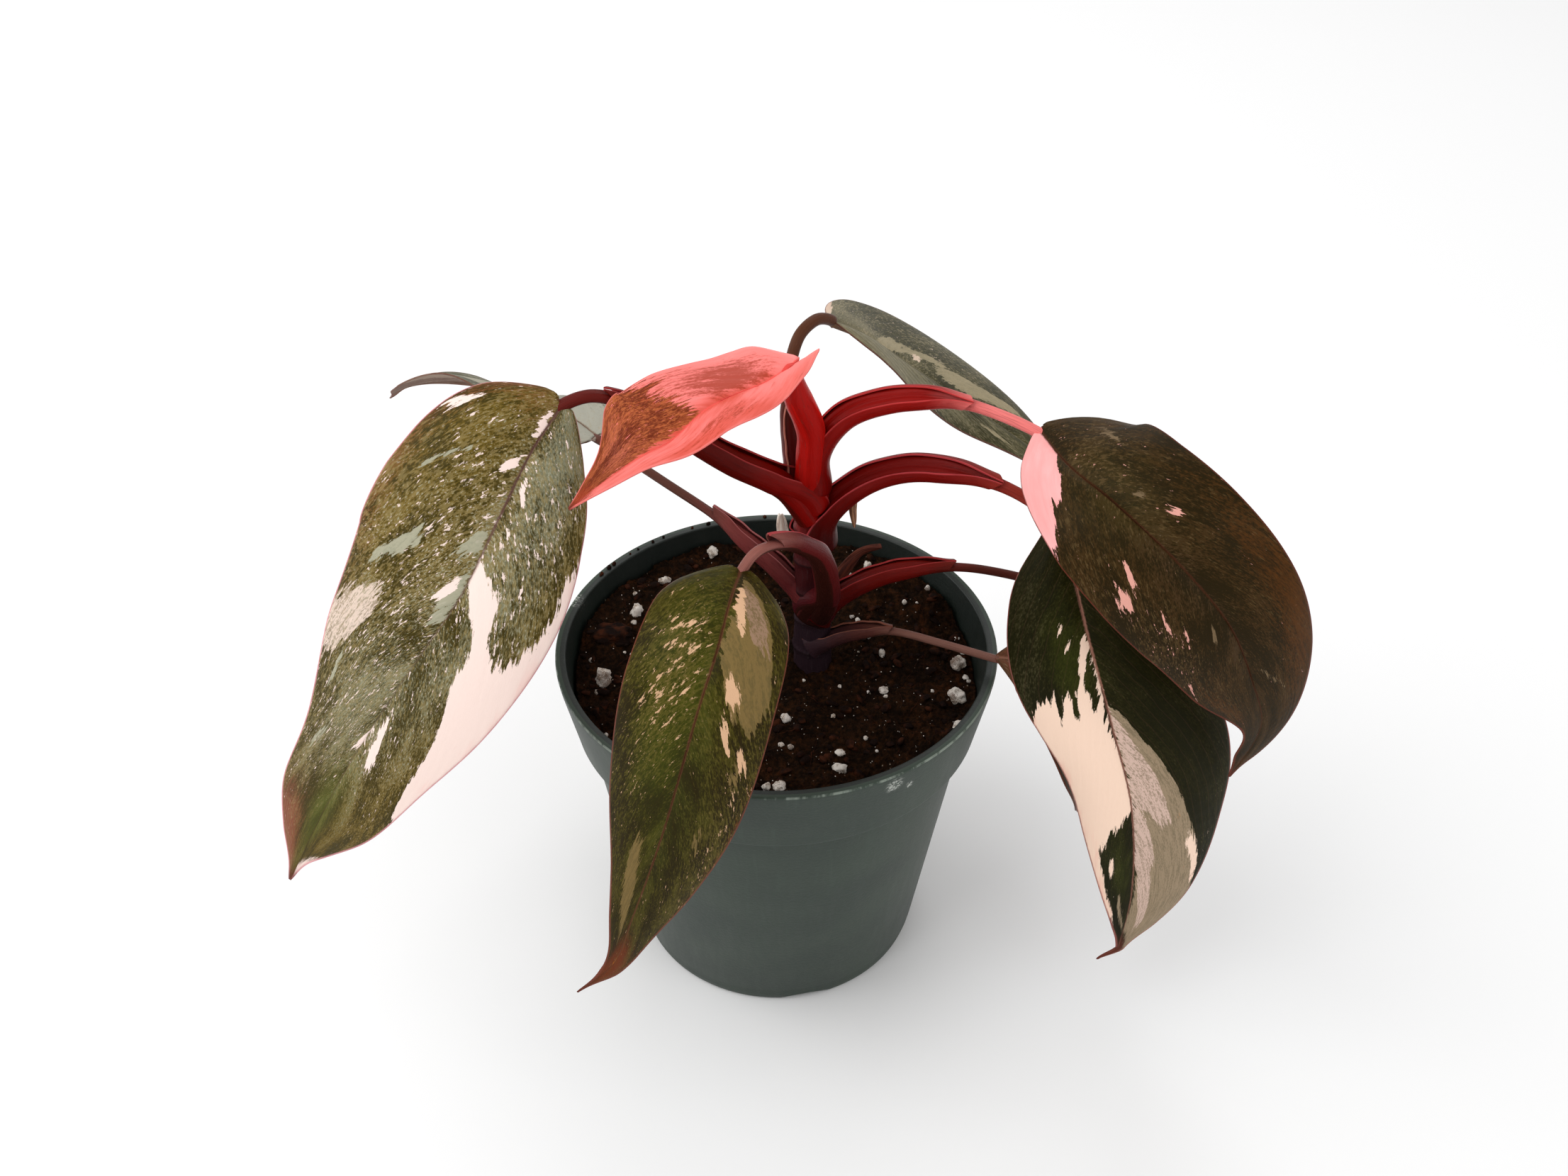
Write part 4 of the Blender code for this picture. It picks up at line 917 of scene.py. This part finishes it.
bract = {"rows": 44, "columns": 20, "thick": 0.3, "faces": (0.0, 1.0, 0.2)}
bracts = {
    "pale": dict(
        points=((5, 10, 107), (2, 13, 113), (1, 14, 120)), size=(1.7, 0.6), slot="pale_bract", start=0.35,
        tones=(rgb(226, 204, 184), rgb(252, 244, 232), rgb(190, 150, 124))),
    "hanging": dict(
        points=((18, 5, 132), (18, 6, 127), (18.5, 6, 122)), size=(1.0, 0.7), slot="dry_bracts",
        tones=(rgb(104, 62, 44), rgb(176, 128, 96), rgb(60, 34, 26))),
    "curled": dict(
        points=((12, 10, 97), (17, 14, 103), (21, 16, 107), (26, 17, 108)), size=(2.0, 0.7),
        slot="dry_bracts", tones=(rgb(72, 30, 22), rgb(120, 62, 44), rgb(40, 20, 16))),
}


def bractPaint(name, tones):
    paint = Paint(name, 0.2)
    skin = paint.uv("skin")
    fibre = paint.grain(skin, (6, 0.4, 1), 1, 4, 0.65)
    paint.colour = tones[0]
    paint.over(tones[1], fibre, 0.38, 0.62)
    paint.over(tones[2], paint.grain(skin, 2.0, 2, 3), 0.55, 0.75, 0.7)
    return paint.finish(fibre * 0.2 + 0.5, fibre, 0.12)


def makeBract(name, shape):
    path = Path(shape["points"])
    halfWidth, halfThick = shape["size"]
    start = shape.get("start", 0.0)  # the share of the path that it leaves out
    bm, spots = grid(bract["rows"], bract["columns"], "skin")
    for vert, u, v in spots:
        along = path.along(u)
        across = along.cross(Vector(bract["faces"])).normalized()
        wide = halfWidth * math.sqrt(max(1 - 0.97 * u ** 1.6, 0.0)) * 1.05
        crisp = 0.18 * math.sin(9 * u + 5 * v) * abs(v)
        cup = halfThick * 1.2 * (v * v - 0.4) + crisp
        vert.co = path.at(start * (1 - u) + u) + across * (wide * v) + across.cross(along) * cup
    layOut(bm, "skin", [(u * path.length, v * 2) for _, u, v in spots])
    bmesh.ops.recalc_face_normals(bm, faces=bm.faces)
    paint = bractPaint("bract_" + name + "_skin", shape["tones"])
    thicken(piece("scale_" + name, bm, [paint], ["bract_" + name], shape["slot"]), bract["thick"])


for name, shape in bracts.items():
    makeBract(name, shape)
print("bracts made:", len(bracts))


soil = {
    "level": 80.0, "edge": 49.6, "steps": 250, "foot": 62.0, "footShare": 0.9,
    "relief": 0.66, "bank": 7.0, "lump": 0.9, "crumb": 0.96, "bit": 0.22,  # heights of its forms
}
# the grains that show from the front: place and size
shownGrains = (
    (24.2, 38.3, 1.2), (33.2, 35.4, 0.8), (19.2, 36.0, 0.6), (39.5, 28.2, 0.8), (33.2, 23.9, 0.7),
    (20.9, 19.3, 0.9), (26.7, 8.6, 1.1), (45.6, 4.0, 2.0), (47.4, 8.3, 1.0), (44.3, -6.8, 1.9),
    (26.4, -5.5, 1.1), (26.8, -7.3, 0.6), (38.0, 2.3, 0.6), (47.2, 0.0, 0.8), (15.7, -3.6, 0.5),
    (-17.4, 43.1, 1.5), (-29.5, 30.9, 1.4), (-35.9, 18.0, 1.8), (-36.5, 15.0, 0.7), (-36.8, 24.5, 0.6),
    (-46.1, 1.5, 0.8), (-42.6, -4.5, 2.0), (-38.0, 3.9, 0.5), (-2.2, -38.8, 1.1), (0.9, -39.2, 1.6),
    (14.9, -32.9, 1.4), (15.1, -27.9, 1.1), (2.3, -15.0, 1.7), (1.2, -24.8, 0.8), (3.4, -25.6, 0.8),
    (13.7, -15.0, 0.8), (43.7, -19.0, 1.2), (-40.6, -21.7, 0.7), (-44.0, -7.8, 0.9),
)
mix = {
    "seed": 11, "grains": 60, "specks": 300, "chips": 300, "fibres": 110, "stemRoom": 7.0, "reach": 48.0,
    "grainSize": (0.3, 1.0), "speckSize": (0.08, 0.19), "bark": (-41.0, 9.5), "barkSize": (5.2, 3.8, 2.2),
    "crumbs": 14, "crumbTurn": (0.52, 0.86), "crumbSize": (0.25, 0.6), "rim": (52.6, 92.0),
    "fibreLength": (2.5, 8), "fibreThick": 0.13, "fibreReach": 48.5,
}


def relief(x, y):
    waves = math.sin(0.31 * x + 0.9) * math.cos(0.27 * y - 0.4) + 0.6 * math.sin(0.53 * y + 0.21 * x)
    bank = rise(0.0, 1.0, (y - 0.25 * x + 14) / 40) * rise(0.0, 1.0, (math.hypot(x, y) - 16) / 32)
    return soil["relief"] * waves + soil["bank"] * bank


def soilTop(x, y):
    spot = Vector((x, y, 3.0))
    lumps = noise.fractal(spot * 0.16, 0.7, 2.1, 3)
    crumbs = noise.fractal(spot * 0.62, 0.5, 2.2, 4)
    bits = noise.noise(spot * 2.1)
    return (soil["level"] + relief(x, y) + soil["lump"] * lumps + soil["crumb"] * abs(crumbs)
            + soil["bit"] * bits - 0.3)


def makeSoil():
    bm = bmesh.new()
    bmesh.ops.create_grid(bm, x_segments=soil["steps"], y_segments=soil["steps"], size=1.0)
    for vert in bm.verts:  # the square sheet becomes a disc
        x, y = vert.co.x, vert.co.y
        x, y = x * math.sqrt(1 - y * y / 2), y * math.sqrt(1 - x * x / 2)
        x, y = x * soil["edge"], y * soil["edge"]
        vert.co = (x, y, soilTop(x, y))
    side = bmesh.ops.extrude_edge_only(bm, edges=[e for e in bm.edges if e.is_boundary])
    for vert in side["geom"]:
        if isinstance(vert, bmesh.types.BMVert):
            vert.co = (vert.co.x * soil["footShare"], vert.co.y * soil["footShare"], soil["foot"])
    bmesh.ops.holes_fill(bm, edges=[e for e in bm.edges if e.is_boundary], sides=0)
    bmesh.ops.recalc_face_normals(bm, faces=bm.faces)
    paint = Paint("peat", 0.05)
    spot = paint.place()
    clod = paint.grain(spot, 7, 1, 4, 0.6)
    crumb = paint.grain(spot, 1.3, 2, 4, 0.65)
    dust = paint.grain(spot, 0.35, 3, 3, 0.6)
    fibre = paint.grain(spot, (4.0, 0.35, 1.0), 4, 3, 0.6)
    paint.colour = rgb(20, 11, 5)
    paint.over(rgb(47, 27, 13), crumb + (clod - 0.5) * 0.7, 0.36, 0.7)
    paint.over(rgb(70, 36, 16), clod + (crumb - 0.5) * 0.9, 0.6, 0.78, 0.6)
    paint.over(rgb(92, 56, 32), fibre, 0.66, 0.74, 0.45)
    near, pick = paint.cells(spot, 0.9, (5.3, 2.9, 1.1))
    paint.lay(rgb(170, 154, 134), (1 - paint.step(near, 0.16, 0.26)) * paint.step(pick, 0.96, 0.97) * 0.7)
    paint.finish(dust * 0.2 + 0.76, crumb * 0.6 + dust * 0.5 + fibre * 0.3, 0.6)
    piece("soil_surface", bm, [paint], ["potting_mix"], "potting_mix", 180)


def scattered(draw, count):  # places on the mix, clear of the stem
    found = 0
    while found < count:
        turn, out = draw.uniform(0, 2 * pi), mix["reach"] * math.sqrt(draw.uniform(0.0, 1.0))
        x, y = out * math.cos(turn), out * math.sin(turn)
        if math.hypot(x - stem["place"][0], y - stem["place"][1]) < mix["stemRoom"]:
            continue
        found += 1
        yield x, y


def makeGrains():
    draw = random.Random(mix["seed"])
    bm = bmesh.new()
    spots = list(shownGrains)
    for x, y in scattered(draw, mix["grains"]):
        spots.append((x, y, draw.uniform(*mix["grainSize"]) ** 2 * 0.75))
    for x, y in scattered(draw, mix["specks"]):
        spots.append((x, y, draw.uniform(*mix["speckSize"])))
    for x, y, size in spots:
        finer = 3 if size > 0.9 else 2 if size > 0.4 else 1
        ball = bmesh.ops.create_icosphere(bm, subdivisions=finer, radius=1.0)
        shift = Vector((x, y, size)) * 3.7
        stretch = Vector([size * draw.uniform(0.75, 1.2) for _ in range(3)])
        for vert in ball["verts"]:
            lump = 1 + 0.42 * noise.noise(vert.co * 0.9 + shift) + 0.32 * noise.noise(vert.co * 2.1 + shift)
            pit = 0.3 * max(noise.noise(vert.co * 4.1 - shift), 0.0)
            vert.co = vert.co * stretch * (lump - pit) + Vector((x, y, soilTop(x, y) + 0.3 * size))
    paint = Paint("perlite", 0.15)
    spot = paint.place()
    cloud = paint.grain(spot, 1.6, 1, 3)
    pits = paint.grain(spot, 0.28, 2, 3, 0.7)
    paint.colour = rgb(240, 232, 222)
    paint.over(rgb(186, 170, 152), cloud, 0.42, 0.7, 0.8)
    paint.over(rgb(92, 66, 48), pits + (cloud - 0.5) * 0.6, 0.55, 0.7, 0.75)
    dirty = paint.grain(spot, 9, 3, 2)  # whole grains that are stained
    paint.over(rgb(104, 76, 56), dirty + (pits - 0.5) * 0.4, 0.56, 0.68, 0.8)
    paint.finish(pits * 0.2 + 0.7, pits, 0.25)
    piece("perlite_grains", bm, [paint], [], "potting_mix", 60)


def addChips(bm, draw):
    for x, y in scattered(draw, mix["chips"]):
        cube = bmesh.ops.create_cube(bm, size=1.0)
        size = Vector((draw.uniform(0.8, 3.0), draw.uniform(0.5, 1.4), draw.uniform(0.3, 0.8)))
        turn, tilt = draw.uniform(0, 2 * pi), draw.uniform(-0.4, 0.4)
        for vert in cube["verts"]:
            spot = vert.co * size * (1 + 0.3 * draw.uniform(-1, 1))
            spot.z += spot.x * tilt
            vert.co = Vector((spot.x * math.cos(turn) - spot.y * math.sin(turn) + x,
                              spot.x * math.sin(turn) + spot.y * math.cos(turn) + y,
                              spot.z + soilTop(x, y) + 0.15))
    bmesh.ops.subdivide_edges(bm, edges=bm.edges, cuts=1, use_grid_fill=True, smooth=0.4)


def addBark(bm):  # one big piece at the left
    x, y = mix["bark"]
    lump = bmesh.ops.create_icosphere(bm, subdivisions=4, radius=1.0)
    for vert in lump["verts"]:
        rough = 1 + 0.3 * noise.fractal(vert.co * 1.6, 0.6, 2.0, 4)
        vert.co = vert.co * Vector(mix["barkSize"]) * rough + Vector((x, y, soilTop(x, y) + 0.5))


def addCrumbs(bm, draw):  # along the rim behind the bark
    out, height = mix["rim"]
    for _ in range(mix["crumbs"]):
        turn, size = draw.uniform(*mix["crumbTurn"]) * pi, draw.uniform(*mix["crumbSize"])
        crumb = bmesh.ops.create_icosphere(bm, subdivisions=2, radius=size)
        for vert in crumb["verts"]:
            vert.co *= 1 + 0.5 * noise.noise(vert.co * 2.5 + Vector((turn * 9, 0, 0)))
            vert.co += Vector((out * math.cos(turn), out * math.sin(turn), height + size * 0.5))


def addFibres(bm, draw):
    for x, y in scattered(draw, mix["fibres"]):
        turn, long = draw.uniform(0, 2 * pi), draw.uniform(*mix["fibreLength"])
        bend, hop = draw.uniform(-0.5, 0.5), draw.uniform(0.2, 1.0)
        sheet = bmesh.ops.create_grid(bm, x_segments=10, y_segments=5, size=1.0)
        for vert in sheet["verts"]:
            u, v = (vert.co.x + 1) / 2, vert.co.y
            reach = (u - 0.5) * long
            px, py = x + reach * math.cos(turn + bend * u), y + reach * math.sin(turn + bend * u)
            inward = min(mix["fibreReach"] / math.hypot(px, py), 1.0)
            px, py = px * inward, py * inward
            thick = mix["fibreThick"] * (1 - 0.6 * u)
            wide, high = thick * math.cos(pi * v), thick * math.sin(pi * v)
            vert.co = (px - math.sin(turn) * wide, py + math.cos(turn) * wide,
                       soilTop(px, py) + 0.12 + hop * math.sin(pi * u) * 0.6 + high)


def makeChips():
    draw = random.Random(mix["seed"] + 1)
    bm = bmesh.new()
    addChips(bm, draw)
    addBark(bm)
    addCrumbs(bm, draw)
    addFibres(bm, draw)
    bmesh.ops.remove_doubles(bm, verts=bm.verts, dist=0.001)
    bmesh.ops.recalc_face_normals(bm, faces=bm.faces)
    paint = Paint("bark_and_fibre", 0.06)
    spot = paint.place()
    fibre = paint.grain(spot, (0.9, 0.25, 0.5), 2, 4, 0.6)
    paint.colour = rgb(22, 11, 7)
    paint.over(rgb(64, 32, 17), paint.grain(spot, 3.0, 1, 2), 0.42, 0.7)
    paint.over(rgb(104, 66, 42), fibre, 0.64, 0.78, 0.3)
    paint.finish(fibre * 0.2 + 0.7, fibre, 0.2)
    piece("bark_chips", bm, [paint], [], "potting_mix", 60)


makeSoil()
makeGrains()
makeChips()
print("potting mix made")


pot = {
    "height": 92.0, "rim": 54.0, "rimWidth": 2.6, "collar": 19.0, "collarFoot": 50.4, "bodyTop": 47.6,
    "base": 36.8, "wall": 1.3, "floor": 1.3, "foot": 9.0, "steps": 192, "round": 0.4, "sharp": 35,
    "slots": 4, "slotWidth": 16.0, "slotHeight": 2.2, "slotDepth": 9.0, "slotTurn": 12.0, "slotPast": 2.0,
    # pale spots, place and reach: scuffs at the front right, and a painted glare at the left end of the rim
    "scuffsAndGlare": ((26.4, -46.1, 88.6, 3.0), (-50.5, 15.6, 92.0, 3.5), (30.0, -43.5, 86.0, 1.5)),
    "shadedInside": (0.174, 36.7, 36.9),  # slope of the wall, and the radii between which the painted shade on the inner wall begins
}


def insideAt(z):  # radius of the inner wall
    foot = pot["height"] - pot["collar"]
    if z >= foot:
        share = (z - foot) / pot["collar"]
        return pot["collarFoot"] - pot["wall"] + share * (
            pot["rim"] - pot["collarFoot"] - pot["rimWidth"] + pot["wall"])
    return pot["base"] - pot["wall"] + z / foot * (pot["bodyTop"] - pot["base"])


def turnPot():
    rim, top, base, wall = pot["rim"], pot["height"], pot["base"], pot["wall"]
    foot = top - pot["collar"]
    profile = [
        (rim - pot["rimWidth"], top), (rim, top), (rim - 0.1, top - 1.0), (rim - 0.35, top - 2.6),
        (pot["collarFoot"] + 0.15, foot + 0.9), (pot["collarFoot"], foot),
        (pot["bodyTop"] + 0.05, foot - wall), (pot["bodyTop"] - 0.1, foot - wall - 1.0),
        (base + 0.95, 5.2), (base + 0.75, 4.9), (base + 0.55, 3.0), (base - 0.1, 0.7), (base - 1.0, 0.0),
        (base - pot["foot"], 0.0), (0.0, 0.0), (0.0, pot["floor"]), (insideAt(pot["floor"]), pot["floor"]),
        (insideAt(foot - wall), foot - wall / 2), (insideAt(foot), foot + wall / 2),
    ]
    bm = bmesh.new()
    points = [bm.verts.new((r, 0.0, z)) for r, z in profile]
    edges = [bm.edges.new(pair) for pair in zip(points, points[1:] + points[:1])
             if not (pair[0].co.x == 0 and pair[1].co.x == 0)]
    bmesh.ops.spin(bm, geom=points + edges, cent=(0, 0, 0), axis=(0, 0, 1), angle=2 * pi,
                   steps=pot["steps"], use_merge=True)
    bmesh.ops.remove_doubles(bm, verts=bm.verts, dist=0.001)
    bmesh.ops.recalc_face_normals(bm, faces=bm.faces)
    corners = [e for e in bm.edges if e.is_manifold and e.calc_face_angle() > math.radians(28)
               and abs(e.verts[0].co.z - e.verts[1].co.z) < 0.01]
    bmesh.ops.bevel(bm, geom=corners, offset=pot["round"], segments=3, profile=0.5,
                    affect="EDGES", material=-1)
    return bm


def potPaint():
    paint = Paint("pot_plastic", 0.4)
    spot = paint.place()
    x, y, z = paint.xyz(spot)
    radius = paint.maths("SQRT", x * x + y * y)
    cloud = paint.grain(spot, (34, 34, 22), 1, 3)
    grain = paint.grain(spot, 0.7, 2, 3, 0.6)
    drag = paint.grain(spot, (3.0, 3.0, 26), 3, 4, 0.6)
    scratch = paint.grain(spot, (14, 14, 0.5), 4, 4, 0.7)
    paint.colour = rgb(33, 46, 37)
    paint.over(rgb(43, 56, 45), cloud, 0.35, 0.7)
    paint.over(rgb(66, 80, 70), drag, 0.52, 0.78, 0.3)
    paint.over(rgb(84, 96, 88), scratch, 0.68, 0.76, 0.2)
    paint.over(rgb(44, 58, 46), z, 91.4, 91.9, 0.8)
    # a painted highlight: a pale line along the rim's outer edge, broken up by noise
    edgeHighlight = paint.step(z, 91.3, 91.6) * paint.step(radius, 53.6, 53.8)
    paint.lay(rgb(150, 160, 148), edgeHighlight * paint.step(drag + (cloud - 0.5), 0.4, 0.6) * 0.6)
    # pale scuffs, and at the left end of the rim a painted glare, each broken up by noise
    for *place, reach in pot["scuffsAndGlare"]:
        away = paint.node("VectorMath", {"operation": "DISTANCE"}, {0: spot, 1: place}, 1)
        near = 1 - paint.step(away, reach * 0.3, reach)
        patchy = paint.step(grain + (scratch - 0.5) * 0.5, 0.46, 0.6)
        paint.lay(rgb(196, 200, 192), near * patchy * 0.7)
    # painted shade: the inner wall above the mix darkened, with real dirt on it
    slope, start, end = pot["shadedInside"]
    shadedInside = (1 - paint.step(radius - z * slope, start, end)) * paint.step(z, 74.5, 75)
    paint.lay(rgb(12, 18, 16), shadedInside * 0.8)
    dirt = paint.grain(spot, (2.2, 2.2, 1.4), 5, 4, 0.7)
    paint.lay(rgb(50, 32, 20), paint.step(dirt, 0.66, 0.73) * shadedInside * 0.7)
    return paint.finish(drag * 0.16 + grain * 0.1 + 0.36, grain + scratch * 0.5, 0.06)


def cutSlots(obj):  # arched drain slots across the foot
    arch = (pot["slotWidth"] ** 2 / 4 + pot["slotHeight"] ** 2) / (2 * pot["slotHeight"])
    out = pot["base"] - pot["slotDepth"] / 2 + pot["slotPast"]
    for i in range(pot["slots"]):
        turn = math.radians(pot["slotTurn"] + 360 * i / pot["slots"])
        cutter = bmesh.new()
        bmesh.ops.create_cone(cutter, cap_ends=True, segments=128, radius1=arch * mm, radius2=arch * mm,
                              depth=(pot["slotDepth"] + 2 * pot["slotPast"]) * mm)
        tool = addObject("slot", meshFrom(cutter, "slot"))
        tool.rotation_euler = (pi / 2, 0, turn)
        tool.location = Vector((out * math.sin(turn), -out * math.cos(turn), pot["slotHeight"] - arch)) * mm
        cut = obj.modifiers.new("Slot", "BOOLEAN")
        cut.operation, cut.solver, cut.object = "DIFFERENCE", "EXACT", tool
        bpy.context.view_layer.update()
        done = bpy.data.meshes.new_from_object(obj.evaluated_get(bpy.context.evaluated_depsgraph_get()))
        obj.modifiers.clear()
        obj.data = done
        bpy.data.objects.remove(tool)
    obj.data.set_sharp_from_angle(angle=math.radians(pot["sharp"]))


cutSlots(piece("nursery_pot", turnPot(), [potPaint()], ["pot"], "pot", pot["sharp"]))
print("pot made")


studio = {
    "floor": 6.0, "floorColour": (0.93, 0.93, 0.93, 1.0), "sky": 0.66, "target": (0.0, 0.0, 0.1),
    "lights": (((-0.9, -0.4, 1.3), 1.4, 10.5), ((1.0, -0.9, 0.8), 1.2, 4.0), ((0.1, 1.1, 1.2), 1.0, 4.0),
               ((-1.3, 0.4, 0.5), 1.2, 5.0)),  # place, width and watts
    "camera": (0.00186, -0.2946, 0.3358), "pitch": 37.68, "lens": 35.77, "sensor": 36.0, "clip": (0.01, 20.0),
}


def makeStudio():
    bm = bmesh.new()
    bmesh.ops.create_circle(bm, cap_ends=True, radius=studio["floor"], segments=64)
    floor = addObject("floor", meshFrom(bm, "floor"))
    paint = Paint("floor", 0.1, 0.9)
    paint.colour = studio["floorColour"]
    floor.data.materials.append(paint.finish().material)
    for spot, size, power in studio["lights"]:
        lamp = bpy.data.lights.new("softbox", "AREA")
        lamp.shape, lamp.size, lamp.energy = "DISK", size, power
        obj = addObject("softbox", lamp)
        obj.location = spot
        obj.rotation_euler = (Vector(studio["target"]) - Vector(spot)).to_track_quat("-Z", "Y").to_euler()
    world = bpy.data.worlds.new("sky")
    scene.world = world
    world.use_nodes = True
    sky = world.node_tree.nodes["Background"]
    sky.inputs["Color"].default_value = (1.0, 1.0, 1.0, 1.0)
    sky.inputs["Strength"].default_value = studio["sky"]
    view = bpy.data.cameras.new("camera")
    view.sensor_width, view.lens = studio["sensor"], studio["lens"]
    view.clip_start, view.clip_end = studio["clip"]
    camera = addObject("camera", view)
    camera.location = studio["camera"]
    camera.rotation_euler = (math.radians(90 - studio["pitch"]), 0, 0)
    scene.camera = camera
    scene.view_settings.view_transform = "Standard"


makeStudio()
print("studio set")
